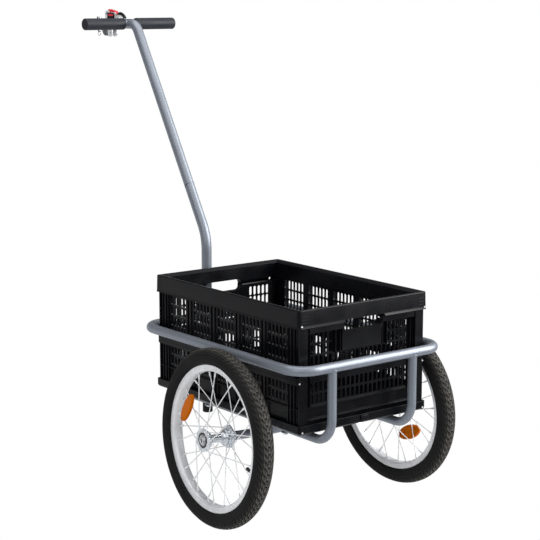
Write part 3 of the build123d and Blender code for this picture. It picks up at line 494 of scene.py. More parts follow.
def add_rod(bm, start, end, radius, sides=24, bevel=0.0):
    """A round rod between two points in metres, with its end edges rounded."""
    start, end = Vector(start), Vector(end)
    run = end - start
    place = Matrix.Translation((start + end) / 2) @ run.to_track_quat("Z", "Y").to_matrix().to_4x4()
    made = bmesh.ops.create_cone(
        bm, cap_ends=True, segments=sides, radius1=radius, radius2=radius, depth=run.length, matrix=place,
    )
    if bevel:
        rims = edges_of(made["verts"], 1.0)
        bmesh.ops.bevel(bm, geom=rims, offset=bevel, segments=2, profile=0.5, affect="EDGES", material=-1)


def wire_mesh(bm, points, radius):
    """A smooth round wire that follows control points, added to the bmesh."""
    curve = bpy.data.curves.new("wire", "CURVE")
    curve.dimensions = "3D"
    spline = curve.splines.new("NURBS")
    spline.points.add(len(points) - 1)
    for at, point in zip(spline.points, points):
        at.co = (*point, 1)
    spline.order_u = 3
    spline.use_endpoint_u = True
    curve.resolution_u = 6
    curve.bevel_depth = radius
    curve.bevel_resolution = 2
    curve.use_fill_caps = True
    holder = bpy.data.objects.new("wire", curve)
    mesh = bpy.data.meshes.new_from_object(holder)
    bm.from_mesh(mesh)
    bpy.data.objects.remove(holder)
    bpy.data.curves.remove(curve)
    bpy.data.meshes.remove(mesh)


def softened(node_name, finish, width, segments=2, slot=None):
    """A copy of a CAD node with its moulded edges rounded, which stands for the node."""
    source = NODES[node_name]
    bm = bmesh.new()
    bm.from_mesh(source.data)
    bmesh.ops.remove_doubles(bm, verts=bm.verts, dist=2e-6)
    bmesh.ops.dissolve_limit(bm, angle_limit=radians(1.0), verts=bm.verts, edges=bm.edges, delimit=set())
    made = finish_piece(
        bm, f"{node_name}_rounded", source["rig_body"], finish, place=None, replaces=(node_name,), slot=slot,
        smooth=MOULDED_EDGE,
    )
    rounding = made.modifiers.new("rounded edges", "BEVEL")
    rounding.width = width
    rounding.segments = segments
    rounding.limit_method = "ANGLE"
    rounding.angle_limit = radians(MOULDED_EDGE)
    rounding.use_clamp_overlap = True
    rounding.harden_normals = True
    return made


def dress(names, finish):
    """Gives carried-over CAD nodes their finish."""
    for name in names:
        mesh = NODES[name].data
        mesh.materials.clear()
        mesh.materials.append(material(finish))


# ---------------------------------------------------------------- wheels
# millimetres and degrees
RIM_INNER = 148.0  # radius where the nipples come out
SECTION = 22.4  # radius of the tyre's section
SECTION_CENTRE = 177.6  # radius of the circle that the section's middle runs on
HUB_END = 34.6  # from the hub's middle to the faces of its bearings
FLANGE_OUT = 33.0  # from the hub's middle to the flange that the spokes start from
FLANGE_HOLES = 21.9  # radius of the flange's ring of holes
SPOKE_COUNT = 28
SPOKE_RADIUS = 1.1
HOLE_STEP = 360 / 14  # between two holes of one flange
NIPPLE_OUT = 3.0  # nipples stand by turns this far left and right of the rim's middle
NIPPLE_PHASE = 2.0  # first nipple, forward of the top
WHEEL_TURN = {"left": 0.0, "right": 183.2}
# radius, angle forward of the top, gap to the spokes behind
REFLECTOR_SPOTS = {"left": (99.5, 58.4, 1.3), "right": (82.0, 202.6, 0.4)}


def wheel_local(radius, angle, along, side):
    """A point in a wheel's own axes: radius in mm, angle forward from the top, distance out in mm."""
    turn = radians(angle)
    return Vector((along * MM, FORWARD_SIGN[side] * radius * MM * sin(turn), radius * MM * cos(turn)))


def scaled(points):
    """Points given in millimetres, in metres."""
    return [tuple(value * MM for value in point) for point in points]


def mirrored_profile(half):
    """A closed profile from its outer half, given from the top to the middle of the ring."""
    return half + [(-along, radius) for along, radius in reversed(half) if abs(along) > 1e-9]


def turned(name, body, finish, place, profiles, steps, closed=True, **rest):
    """A piece turned about a wheel's axle from profiles in millimetres."""
    bm = bmesh.new()
    for profile in profiles:
        spin_profile(bm, scaled(profile), steps, closed=closed)
    return finish_piece(bm, name, body, finish, place=place, **rest)


class TRAILER_OT_tyres(bpy.types.Operator):
    """Make both tyres: ridged side walls and a herringbone tread"""

    bl_idname = "trailer.tyres"
    bl_label = "Tyres"
    bl_options = {"REGISTER", "UNDO"}

    # start and end across the section in degrees, share of the pitch that stands out, how dusty
    columns = (
        (0.0, 6.5, 0.70, 1.0), (9.0, 20.0, 0.72, 1.0), (22.5, 34.0, 0.76, 0.65), (36.5, 48.0, 0.80, 0.22),
        (50.0, 63.0, 0.82, 0.08),
    )
    sweep = 0.05

    def carcass(self, bm, depth):
        """The casing: groove floor under the tread, side walls with two ridges, bead in the rim."""
        half = []
        for degree in range(0, 64, 7):
            reach = SECTION - depth
            half.append((reach * sin(radians(degree)), SECTION_CENTRE + reach * cos(radians(degree))))
        for degree in (66, 68, 74, 78, 79.5, 81.5, 83, 90, 97, 104, 108, 109.5, 111.5, 113, 118):
            lift = 0.0 if degree in (79.5, 81.5, 109.5, 111.5) else 0.45
            reach = SECTION - lift if degree != 90 else SECTION
            half.append((reach * sin(radians(degree)), SECTION_CENTRE + reach * cos(radians(degree))))
        half += [(14.2, 165.0), (13.0, 164.4), (10.9, 163.6), (10.9, 156.0)]
        spin_profile(bm, scaled(mirrored_profile(half)), 160)

    def blocks(self, bm, rows, depth, side):
        """Tread blocks in columns, parted by grooves that sweep forward from the middle to the shoulders."""
        pitch = 2 * pi / rows
        tread = bm.verts.layers.float["tread"]
        top, floor = SECTION * MM - 2e-5, (SECTION - depth - 0.4) * MM
        for row in range(rows):
            for column, (start, end, share, dust) in enumerate(self.columns):
                for hand in (1, -1):
                    if start == 0.0 and hand < 0:
                        continue
                    low, high = (-end, end) if start == 0.0 else (start, end)
                    middle = row + 0.3 * (column % 2)
                    rings = []
                    for reach, flare in ((top, 0.0), (floor, 0.05)):
                        ring = []
                        for bend, half in ((low, -0.5), (high, -0.5), (high, 0.5), (low, 0.5)):
                            ahead = middle + abs(bend) * self.sweep + half * (share + 2 * flare)
                            turn = FORWARD_SIGN[side] * pitch * ahead
                            across = radians(hand * bend)
                            radius = SECTION_CENTRE * MM + reach * cos(across)
                            ring.append(bm.verts.new((reach * sin(across), radius * sin(turn), radius * cos(turn))))
                        rings.append(ring)
                    # painted highlight: each block's top is lighter along one edge and darker along the other,
                    # times its column's dust
                    for vert, dust_and_highlight in zip(rings[0], (1.5, 1.5, 0.4, 0.4)):
                        vert[tread] = min(1.0, dust * dust_and_highlight)
                    bm.faces.new(rings[0])
                    for at in range(4):
                        bm.faces.new((rings[0][at], rings[1][at], rings[1][at - 3], rings[0][at - 3]))

    def execute(self, context):
        settings = context.scene.trailer_wheels
        depth = settings.tread_depth / MM
        for side in SIDES:
            bm = bmesh.new()
            bm.verts.layers.float.new("tread")
            self.carcass(bm, depth)
            self.blocks(bm, settings.tread_blocks, depth, side)
            finish_piece(
                bm, f"tyre_{side}_tread", f"wheel_{side}", "rubber", place=WHEELS[side], replaces=(f"tyre_{side}",),
                smooth=40,
            )
        return {"FINISHED"}


class TRAILER_OT_rims(bpy.types.Operator):
    """Make both rims with their nipple eyelets"""

    bl_idname = "trailer.rims"
    bl_label = "Rims"
    bl_options = {"REGISTER", "UNDO"}

    def execute(self, context):
        # from the tyre's well at the middle, over the rim's edge and down its side, to the nipples' bed
        half = [
            (0, 155.0), (9.4, 155.0), (11.0, 156.6), (11.1, 162.6), (11.5, 163.4), (12.1, 163.4), (12.5, 162.8),
            (12.5, 156.4), (12.1, 155.8),
        ]
        half += [
            (12.1, 155.2), (12.4, 154.6), (12.2, 153.2), (11.4, 151.4), (10.0, 150.0), (8.4, 149.2), (7.6, 149.1),
            (7.1, 148.5), (5.0, 148.15), (0, 148.0),
        ]
        ring = half + [(-along, radius) for along, radius in reversed(half[1:-1])]
        for side in SIDES:
            body, place = f"wheel_{side}", WHEELS[side]
            turned(f"rim_{side}_rolled", body, "rim", place, (ring,), 180, replaces=(f"rim_{side}",), smooth=25)
            # the eyelets' bores are black discs: painted shade inside the nipple holes
            eyelets, shadows = bmesh.new(), bmesh.new()
            for step in range(SPOKE_COUNT):
                angle = NIPPLE_PHASE + WHEEL_TURN[side] + step * HOLE_STEP / 2
                along = NIPPLE_OUT if step % 2 == 0 else -NIPPLE_OUT
                for target, low, high, radius in ((eyelets, 147.7, 148.2, 2.9), (shadows, 147.5, 147.8, 2.2)):
                    start, end = (wheel_local(reach, angle, along, side) for reach in (low, high))
                    add_rod(target, start, end, radius * MM, sides=14)
            finish_piece(eyelets, f"rim_{side}_eyelets", body, "rim", place=place)
            finish_piece(shadows, f"rim_{side}_eyelet_painted_shade", body, "black", place=place)
        return {"FINISHED"}


class TRAILER_OT_hubs(bpy.types.Operator):
    """Make the hub shells with their shoulders, the bearings' faces and the axle pins"""

    bl_idname = "trailer.hubs"
    bl_label = "Hubs"
    bl_options = {"REGISTER", "UNDO"}

    # profiles of (along the axle, radius)
    lip = [(33.2, 17.4), (34.4, 17.6), (34.95, 18.2), (34.95, 19.2), (34.5, 19.9), (33.2, 20.3)]
    bell = [
        (21.4, 18.8), (20.6, 18.4), (19.2, 16.4), (17.6, 13.6), (15.4, 11.4), (12.6, 10.0), (10.0, 9.35),
        (9.0, 9.0), (21.4, 9.0),
    ]
    race = [(31.0, 14.6), (33.2, 14.6), (33.2, 17.0), (31.0, 17.0)]
    inner = [(31.0, 9.2), (33.8, 9.2), (34.0, 9.6), (34.0, 12.4), (33.8, 12.8), (31.0, 12.8)]
    seal = [
        (32.4, 12.9), (34.0, 12.9), (34.0, 13.4), (33.7, 14.0), (34.2, 15.6), (34.0, 16.2), (34.7, 17.9),
        (33.2, 18.1),
    ]

    def execute(self, context):
        bells = [[(hand * along, radius) for along, radius in self.bell] for hand in (-1, 1)]
        for side in SIDES:
            place, body = WHEELS[side], f"wheel_{side}"
            softened(f"hub_{side}", "zinc", 0.0005)
            turned(f"hub_{side}_rolled_lip", body, "zinc", place, (self.lip,), 48)
            turned(f"hub_{side}_shoulders", body, "zinc", place, bells, 48)
            turned(f"bearing_{side}_races", body, "steel", place, (self.race, self.inner), 48)
            turned(f"bearing_{side}_seal", body, "seal", place, (self.seal,), 48)
            dress((f"bearings_{side}",), "steel")
            self.axle(side)
        return {"FINISHED"}

    def axle(self, side):
        """The axle pin with its stepped end, and a black bar across that end as painted shade for its slot."""
        place = WHEELS[side]
        start, end = HUB_END + 0.4, HUB_END + 3.9
        pin = [
            (-HUB_END - 17.4, 0.0), (-HUB_END - 17.4, 9.2), (-HUB_END - 0.4, 9.2), (-HUB_END - 0.4, 6.0),
            (start, 6.0), (start, 10.6), (start + 0.3, 10.9),
        ]
        pin += [
            (start + 1.0, 10.9), (start + 1.3, 10.6), (start + 1.3, 8.9), (end - 0.5, 8.6), (end, 8.0), (end, 4.2),
            (end - 0.7, 3.6), (end - 0.7, 0.0),
        ]
        turned(
            f"axle_pin_{side}_turned", "frame", "bright", place, (pin,), 40, closed=False,
            replaces=(f"axle_pin_{side}",),
        )
        washer = [(start - 0.3, 6.2), (start + 0.2, 6.2), (start + 0.2, 12.6), (start - 0.3, 12.9)]
        turned(f"axle_washer_{side}", "frame", "steel", place, (washer,), 40)
        # painted shade: a black bar across the pin's end stands for the shade in its slot
        bm = bmesh.new()
        add_box(bm, (end * MM - 0.0006, -0.0009, -0.0062), (end * MM + 0.0002, 0.0009, 0.0062), 0.0002, 1)
        finish_piece(bm, f"axle_slot_painted_shade_{side}", "frame", "black", place=place @ Matrix.Rotation(radians(24), 4, "X"))


class TRAILER_OT_spokes(bpy.types.Operator):
    """Finish the spokes and make the valves"""

    bl_idname = "trailer.spokes"
    bl_label = "Spokes and valves"
    bl_options = {"REGISTER", "UNDO"}

    # radius on the wheel and the stem's own radius there, from its tip to the rim
    stem = ((126.0, 3.2), (127.0, 3.9), (136.4, 3.9), (138.6, 3.4), (139.4, 3.0), (147.6, 3.0))
    grip_radius = 3.9
    collar = {"spot": 146.6, "radius": 4.4, "height": 2.2}

    def valve(self, side):
        """A rubber valve with a fluted grip and a six-sided collar at its foot."""
        bm = bmesh.new()
        angle = NIPPLE_PHASE - 8.5 * HOLE_STEP / 2 + WHEEL_TURN[side]
        outward = wheel_local(1, angle, 0, side)
        turn = outward.to_track_quat("Z", "Y").to_matrix().to_4x4()
        axis = outward.normalized()

        def cone(spot, height, first, second, sides):
            place = Matrix.Translation(wheel_local(spot, angle, 0, side)) @ turn
            made = bmesh.ops.create_cone(
                bm, cap_ends=True, segments=sides, radius1=first * MM, radius2=second * MM,
                depth=height * MM, matrix=place,
            )
            return made["verts"]

        for (low, first), (high, second) in zip(self.stem, self.stem[1:]):
            verts = cone((low + high) / 2, high - low, first, second, 28)
            if first == second == self.grip_radius:
                for vert in verts[::4] + verts[1::4]:
                    vert.co -= (vert.co - axis * vert.co.dot(axis)) * 0.1
        foot = cone(self.collar["spot"], self.collar["height"], self.collar["radius"], self.collar["radius"], 6)
        bmesh.ops.remove_doubles(bm, verts=[vert for vert in bm.verts if vert not in foot], dist=1e-6)
        replaced = (f"valve_{side}",)
        finish_piece(
            bm, f"valve_{side}_ribbed", f"wheel_{side}", "black", place=WHEELS[side], replaces=replaced, smooth=30,
        )

    def execute(self, context):
        for side in SIDES:
            dress((f"spokes_{side}",), "spoke")
            self.valve(side)
        return {"FINISHED"}


class TRAILER_OT_reflectors(bpy.types.Operator):
    """Make the amber wheel reflectors with their bosses and screws"""

    bl_idname = "trailer.reflectors"
    bl_label = "Reflectors"
    bl_options = {"REGISTER", "UNDO"}

    def place(self, side):
        """The reflector's own axes: x along it, y across it, z out of its back."""
        radius, angle, seat = REFLECTOR_SPOTS[side]
        cone = atan2(FLANGE_OUT - NIPPLE_OUT, RIM_INNER - FLANGE_HOLES)
        back = NIPPLE_OUT + (RIM_INNER - radius) * tan(cone) + SPOKE_RADIUS / cos(cone) + seat
        along = wheel_local(1, angle + 90, 0, side).normalized()
        radial = wheel_local(1, angle, 0, side).normalized()
        out = Vector((1, 0, 0)) * cos(cone) + radial * sin(cone)
        across = out.cross(along)
        turn = Matrix((along, across, out)).transposed().to_4x4()
        return WHEELS[side] @ Matrix.Translation(wheel_local(radius, angle, back, side)) @ turn

    def lens(self, bm):
        """An oval dish: rounded rim, a groove, and a raised middle."""
        # height in millimetres and share of the oval's size, from the middle of the back to that of the front
        profile = [
            (0, 0.0), (0, 0.97), (0.6, 1.0), (5.4, 1.0), (6.4, 0.985), (6.9, 0.955), (6.9, 0.90), (6.2, 0.885),
            (6.2, 0.865), (6.9, 0.85), (6.95, 0.5), (7.0, 0.0),
        ]
        spin_profile(bm, [(height * MM, size) for height, size in profile], 64, closed=False)
        turn = Matrix(((0, 1, 0, 0), (0, 0, 1, 0), (1, 0, 0, 0), (0, 0, 0, 1)))
        half_length, half_width = 0.038, 0.017
        bmesh.ops.transform(bm, matrix=Matrix.Diagonal((half_length, half_width, 1, 1)) @ turn, verts=bm.verts)

    def execute(self, context):
        screw = 0.0312  # from the middle
        for side in SIDES:
            place = self.place(side)
            bm = bmesh.new()
            self.lens(bm)
            finish_piece(
                bm, f"reflector_{side}_lens", f"wheel_{side}", "amber", place=place,
                replaces=(f"reflector_{side}",), smooth=30,
            )
            bm = bmesh.new()
            for end in (-1, 1):
                add_rod(bm, (end * screw, 0, 0.0062), (end * screw, 0, 0.0072), 0.0036, 20, 0.0003)
                add_box(bm, (end * 0.020 - 0.004, -0.006, -0.0012), (end * 0.020 + 0.004, 0.006, 0.0002), 0.0003, 1)
            finish_piece(bm, f"reflector_{side}_bosses", f"wheel_{side}", "amber", place=place)
            bm = bmesh.new()
            for end in (-1, 1):
                add_rod(bm, (end * screw, 0, 0.0064), (end * screw, 0, 0.00745), 0.0012, 12)
            finish_piece(bm, f"reflector_{side}_screws", f"wheel_{side}", "black", place=place)
        return {"FINISHED"}


# ---------------------------------------------------------------- tubes
def saddle_weld(bm, start, direction, radius, host_axis, host_radius, bead, steps=56):
    """A rippled bead where a tube that leaves start along direction meets a round host tube."""
    direction, host_axis = Vector(direction).normalized(), Vector(host_axis).normalized()
    aside = direction.cross(host_axis).normalized()
    along = aside.cross(direction).normalized()
    slope = max(direction.cross(host_axis).length, 0.2)
    rings = []
    for step in range(steps):
        turn = 2 * pi * step / steps
        side = radius * cos(turn)
        depth = sqrt(max(host_radius**2 - min(abs(side), host_radius) ** 2, 0)) / slope
        foot = Vector(start) + direction * depth + aside * side + along * radius * sin(turn)
        outward = (aside * cos(turn) + along * sin(turn)).normalized()
        size = bead * (1.0 + 0.16 * (step % 2))
        ring = [
            bm.verts.new(foot + outward * size * cos(2 * pi * k / 8) + direction * size * sin(2 * pi * k / 8))
            for k in range(8)
        ]
        rings.append(ring)
    for step in range(steps):
        first, second = rings[step], rings[(step + 1) % steps]
        for k in range(8):
            bm.faces.new((first[k], second[k], second[(k + 1) % 8], first[(k + 1) % 8]))


def hex_bolt(bm, point, direction, across=10.0, head=4.0, washer=1.2):
    """A hexagon head on a washer that stands on a surface point, sizes in millimetres."""
    point, direction = Vector(point), Vector(direction).normalized()
    turn = direction.to_track_quat("Z", "Y").to_matrix().to_4x4()
    add_rod(bm, point, point + direction * washer * MM, across * 0.95 * MM, 24)
    corner = across / sqrt(3) * MM
    made = bmesh.ops.create_cone(
        bm, cap_ends=True, segments=6, radius1=corner, radius2=corner, depth=head * MM,
        matrix=Matrix.Translation(point + direction * (washer + head / 2) * MM) @ turn,
    )
    rims = edges_of(made["verts"], 1.3)
    bmesh.ops.bevel(bm, geom=rims, offset=0.4 * MM, segments=1, profile=0.5, affect="EDGES", material=-1)


class TRAILER_OT_tubes(bpy.types.Operator):
    """Finish the frame's tubes and add weld beads, bolts and the drawbar's seam"""

    bl_idname = "trailer.tubes"
    bl_label = "Tubes"
    bl_options = {"REGISTER", "UNDO"}

    # metres on the level trailer
    cradle_y, cradle_radius = 0.115, 0.010
    rail_ends, rail_z, rail_radius = (-0.222, 0.373), 0.381, 0.011
    cross_tube_z, axle_seat_z, seat_radius = 0.292, 0.194, 0.0085
    crossbars_x, crossbar_z = (-0.062, 0.232), 0.2035
    drawbar_joint, drawbar_rise = Vector((0.471, 0, 0.6925)), radians(49)
    seam_half, seam_radius = 0.0007, 0.01282
    knob_x, knob_z = 0.4, 0.39
    knob_near, knob_depth, knob_radius, knob_lobe, knob_stem = 0.025, 0.0145, 0.0132, 0.0018, 0.0065
    painted = (
        "rail_loop", "cradle_tube_left", "cradle_tube_right", "axle_tube", "front_cross_tube", "socket_gussets",
        "drawbar_lower", "drawbar_upper", "handle_tube", "crate_crossbars",
    )

    def execute(self, context):
        dress(self.painted, "paint")
        softened("drawbar_socket", "paint", 0.0006)
        softened("foot_cap", "foot", 0.0018)
        for side in SIDES:
            softened(f"grip_{side}", "grip", 0.0026, segments=3)
        self.welds(context.scene.trailer_frame.weld_height)
        bm = bmesh.new()
        half_seam = Vector((sin(self.drawbar_rise), 0, cos(self.drawbar_rise))) * self.seam_half
        add_rod(bm, self.drawbar_joint - half_seam, self.drawbar_joint + half_seam, self.seam_radius, 48)
        finish_piece(bm, "drawbar_seam", "frame", "black")
        bm = bmesh.new()
        for x in self.crossbars_x:
            for y in (-self.cradle_y, self.cradle_y):
                hex_bolt(bm, (x, y, self.crossbar_z), (0, 0, -1))
        finish_piece(bm, "crossbar_bolts", "frame", "zinc")
        self.knob()
        return {"FINISHED"}

    def welds(self, bead):
        """Beads where the cradle meets the rail loop and the axle tube, and at the cross tube's ends."""
        bm = bmesh.new()
        sideways, upward, thin, thick = (0, 1, 0), (0, 0, 1), self.cradle_radius, self.rail_radius
        for y in (-self.cradle_y, self.cradle_y):
            for x in self.rail_ends:
                saddle_weld(bm, (x, y, self.rail_z), (0, 0, -1), thin, sideways, thick, bead)
            saddle_weld(bm, (0, y, self.axle_seat_z), upward, self.seat_radius, sideways, thin, bead * 0.8)
        for y, inward in ((-self.cradle_y, 1), (self.cradle_y, -1)):
            saddle_weld(bm, (self.rail_ends[1], y, self.cross_tube_z), (0, inward, 0), thick, upward, thin, bead)
        finish_piece(bm, "frame_weld_beads", "frame", "paint")

    def knob(self):
        """The star knob that clamps the drawbar in its socket."""
        bm = bmesh.new()
        outline, points = [], 60
        for step in range(points):
            turn = 2 * pi * step / points
            reach = self.knob_radius + self.knob_lobe * cos(5 * turn)
            outline.append(bm.verts.new((reach * cos(turn), self.knob_near, reach * sin(turn))))
        face = bm.faces.new(outline)
        top = bmesh.ops.extrude_face_region(bm, geom=[face])
        moved = [item for item in top["geom"] if isinstance(item, bmesh.types.BMVert)]
        bmesh.ops.translate(bm, vec=(0, self.knob_depth, 0), verts=moved)
        bmesh.ops.recalc_face_normals(bm, faces=bm.faces)
        rims = [edge for edge in bm.edges if abs(edge.calc_face_angle(0)) > 1.3]
        bmesh.ops.bevel(bm, geom=rims, offset=0.0016, segments=3, profile=0.5, affect="EDGES", material=-1)
        bmesh.ops.translate(bm, vec=(self.knob_x, 0, self.knob_z), verts=bm.verts)
        stem = [(self.knob_x, y, self.knob_z) for y in (0.0145, 0.026)]
        add_rod(bm, *stem, self.knob_stem, 24, 0.0005)
        finish_piece(bm, "socket_star_knob", "frame", "black", replaces=("socket_knob",), smooth=30)


class TRAILER_OT_coupling(bpy.types.Operator):
    """Finish the coupling and add its rivets, latch, lever plates, connector and tether"""

    bl_idname = "trailer.coupling"
    bl_label = "Coupling"
    bl_options = {"REGISTER", "UNDO"}

    # node, finish and width of its rounding; the rest in metres on the level trailer
    moulded = (
        ("coupling_head", "rim", 0.0007), ("coupling_jaw", "steel", 0.0006), ("coupling_latch", "steel", 0.0006),
        ("release_lever", "red", 0.0009), ("hitch_pin", "bright", 0.0004),
    )
    rivets = ((0.812, 1.0605), (0.826, 1.089), (0.832, 1.110))
    # rear, bottom, front and top of each bar of the latch's frame
    latch_bars = (
        (0.8235, 1.0965, 0.8275, 1.1125), (0.7955, 1.0965, 0.8275, 1.1030),
        (0.7955, 1.1080, 0.8275, 1.1110), (0.7955, 1.0965, 0.7985, 1.1110),
    )
    # radius and control points of the tether's two strands
    strands = (
        (
            0.0027,
            [(0.796, 0, 1.1050), (0.786, 0, 1.1110), (0.772, 0, 1.1105), (0.760, 0, 1.1040), (0.7545, 0, 1.0985)],
        ),
        (0.0020, [(0.796, 0.003, 1.1035), (0.784, 0.004, 1.1085), (0.768, 0.004, 1.1070), (0.757, 0.003, 1.0985)]),
    )

    def execute(self, context):
        for name, finish, width in self.moulded:
            softened(name, finish, width, slot="zinc_steel" if finish == "rim" else None)
        rivets, latch, insert, plates, connector = (bmesh.new() for _ in range(5))
        for x, z in self.rivets:
            for hand in (-1, 1):
                add_rod(rivets, (x, hand * 0.0088, z), (x, hand * 0.0104, z), 0.0030, 20, 0.0006)
        finish_piece(rivets, "coupling_rivets", "coupling", "bright")
        for hand in (-1, 1):
            low, high = span(hand, 0.0086, 0.0106)
            for rear, bottom, front, top in self.latch_bars:
                add_box(latch, (rear, low, bottom), (front, high, top), 0.0006, 1)
            low, high = span(hand, 0.0060, 0.0100)
            add_box(insert, (0.7985, low, 1.1030), (0.8235, high, 1.1080), 0.0006, 1)
            low, high = span(hand, 0.0058, 0.0072)
            add_box(plates, (0.7925, low, 1.1030), (0.8130, high, 1.1128), 0.0010)
        finish_piece(plates, "lever_side_plates", "coupling", "rim", slot="zinc_steel")
        finish_piece(latch, "latch_frame", "coupling", "black")
        finish_piece(insert, "latch_insert", "coupling", "red")
        add_box(connector, (0.7795, -0.0050, 1.0992), (0.7970, 0.0050, 1.1085), 0.0016)
        finish_piece(connector, "coupling_connector", "coupling", "pale")
        self.tether()
        return {"FINISHED"}

    def tether(self):
        """A soft loop from the drawbar's nose to the coupling, which bends between the two."""
        bm = bmesh.new()
        for radius, points in self.strands:
            wire_mesh(bm, points, radius)
        strap = finish_piece(bm, "coupling_tether", None, "black")
        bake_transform(strap, "frame", "coupling", start=tuple(level(757, 0, 1104)), end=tuple(level(790, 0, 1104)))


# ---------------------------------------------------------------- crate
# metres on the level trailer
CRATE_MIDDLE = 0.078  # ahead of the axle
CRATE_HALF_LENGTH = 0.271
CRATE_HALF_WIDTH = 0.182
ENDS = (("rear_wall", -1), ("front_wall", 1))


def ribs_between(bm, low, high, spots, width, axis):
    """Upright ribs of one width at several spots along x or y, between two corners."""
    for spot in spots:
        first, second = list(low), list(high)
        first[axis], second[axis] = spot - width / 2, spot + width / 2
        add_box(bm, first, second, 0.0005, 1)


class TRAILER_OT_crate(bpy.types.Operator):
    """Finish the folding crate: moulded edges, collar, ribs, louvres, catches and pins"""

    bl_idname = "trailer.crate"
    bl_label = "Folding crate"
    bl_options = {"REGISTER", "UNDO"}

    def execute(self, context):
        rounding = context.scene.trailer_crate.edge_round
        for name in (
            "crate_base", "crate_side_upper_left", "crate_side_upper_right", "crate_side_lower_left",
            "crate_side_lower_right", "end_wall_rear", "end_wall_front",
        ):
            softened(name, "crate", rounding)
        dress(("side_hinge_pins", "end_hinge_pins"), "black")
        self.collar()
        self.side_ribs()
        self.end_ribs()
        self.collar_details()
        self.base_details()
        self.pins()
        return {"FINISHED"}

    def collar_path(self):
        """Places round the rim: a centre, the way out, the radius there, and which way the section moves in."""
        length, width, round_by = CRATE_HALF_LENGTH, CRATE_HALF_WIDTH, 0.006
        path = []
        for corner, (along, across) in enumerate(((1, 1), (-1, 1), (-1, -1), (1, -1))):
            centre = Vector((along * (length - round_by), across * (width - round_by), 0))
            for step in range(7):
                turn = radians(90 * corner + 15 * step)
                path.append((centre, Vector((cos(turn), sin(turn), 0)), round_by, Vector((along, across, 0))))
            if corner % 2:
                out = Vector((along, 0, 0))
                path += [
                    (Vector((along * length, across * y, 0)), out, 0.0, out)
                    for y in (0.173, 0.060, 0.0545, -0.0545, -0.060, -0.173)
                ]
            else:
                out = Vector((0, across, 0))
                path += [
                    (Vector((x * (length - 0.0085), across * width, 0)), out, 0.0, out)
                    for x in (along, -along)
                ]
        return path

    def collar(self):
        """The collar: a hollow rim lifted over both hand holes, and skirts over the hinges."""
        # offset inwards from the outer edge, height, and whether a hand hole lifts it
        section = (
            (-0.0018, 0.4661, True), (-0.0017, 0.4672, True), (-0.0010, 0.4690, True), (-0.0009, 0.4735, False),
            (-0.0001, 0.5034, False), (0.0, 0.5044, False), (0.0004, 0.5053, False), (0.0013, 0.5056, False),
            (0.0072, 0.5056, False), (0.0084, 0.5052, False), (0.0095, 0.5048, False), (0.0162, 0.5020, False),
            (0.0172, 0.5016, False), (0.0182, 0.5004, False), (0.0182, 0.4988, False), (0.0182, 0.4661, True),
            (0.0152, 0.4661, True), (0.0152, 0.4990, False), (0.0030, 0.5026, False), (0.0030, 0.4661, True),
        )
        bm = bmesh.new()
        rings = []
        for centre, out, radius, pull in self.collar_path():
            ring = []
            for inset, height, lifted in section:
                spot = centre + out * max(radius - inset, 0) - pull * max(inset - radius, 0)
                over_hole = lifted and radius == 0 and abs(out.x) > 0 and abs(spot.y) < 0.058
                top = max(height, 0.4719) if over_hole else height
                ring.append(bm.verts.new((CRATE_MIDDLE + spot.x, spot.y, top)))
            rings.append(ring)
        count = len(section)
        for at, first in enumerate(rings):
            second = rings[(at + 1) % len(rings)]
            for k in range(count):
                bm.faces.new((first[k], second[k], second[(k + 1) % count], first[(k + 1) % count]))
        bmesh.ops.remove_doubles(bm, verts=bm.verts, dist=1e-6)
        bmesh.ops.dissolve_degenerate(bm, edges=bm.edges, dist=1e-6)
        for facing in (-1, 1):
            near, far = span(facing, 0.2650, 0.2679, CRATE_MIDDLE)
            for hand in (-1, 1):
                low, high = span(hand, 0.0545, 0.150)
                add_box(bm, (near, low, 0.452), (far, high, 0.470), 0.0006, 1)
        finish_piece(bm, "crate_collar_moulded", "frame", "crate", replaces=("crate_collar",), smooth=30)

    def side_ribs(self):
        """Upright ribs between the groups of slots of the long walls, and a level bead on each half."""
        bm = bmesh.new()
        edges = [CRATE_MIDDLE + (group - 2) * 0.094 + hand * 0.0405 for group in range(5) for hand in (-1, 1)]
        outer = [-0.172, -0.1605, 0.3165, 0.328]
        for hand in (-1, 1):
            near, far = span(hand, 0.1735, 0.1785)
            for low, high in ((0.3595, 0.4975), (0.2425, 0.3425)):
                ribs_between(bm, (0, near, low), (0, far, high), edges + outer, 0.0022, 0)
        for hand in (-1, 1):
            near, far = span(hand, 0.1735, 0.1768)
            for height in (0.2885, 0.4675):
                add_box(bm, (-0.1855, near, height - 0.001), (0.3415, far, height + 0.001), 0.0004, 1)
        finish_piece(bm, "crate_side_ribs", "frame", "crate", smooth=30)

    def end_ribs(self):
        """Upright ribs, a bottom edge and the lower half of the hand hole's frame on both end walls."""
        for body, facing in ENDS:
            bm = bmesh.new()
            near, far = span(facing, 0.2548, 0.2618, CRATE_MIDDLE)
            ribs_between(bm, (near, 0, 0.2885), (far, 0, 0.4495), (-0.1515, -0.1440, 0.1440, 0.1515), 0.0020, 1)
            add_box(bm, (near, -0.158, 0.2600), (far, 0.158, 0.2622), 0.0004, 1)
            ribs_between(bm, (near, 0, 0.401), (far, 0, 0.4495), (-0.0735, -0.0605, 0.0605, 0.0735), 0.0020, 1)
            finish_piece(bm, f"{body}_ribs", body, "crate", smooth=30)
            bm = bmesh.new()
            self.hole_frame(bm, facing, 0.445, 0.4595, -1)
            finish_piece(bm, f"{body}_hand_lip", body, "crate", smooth=30)

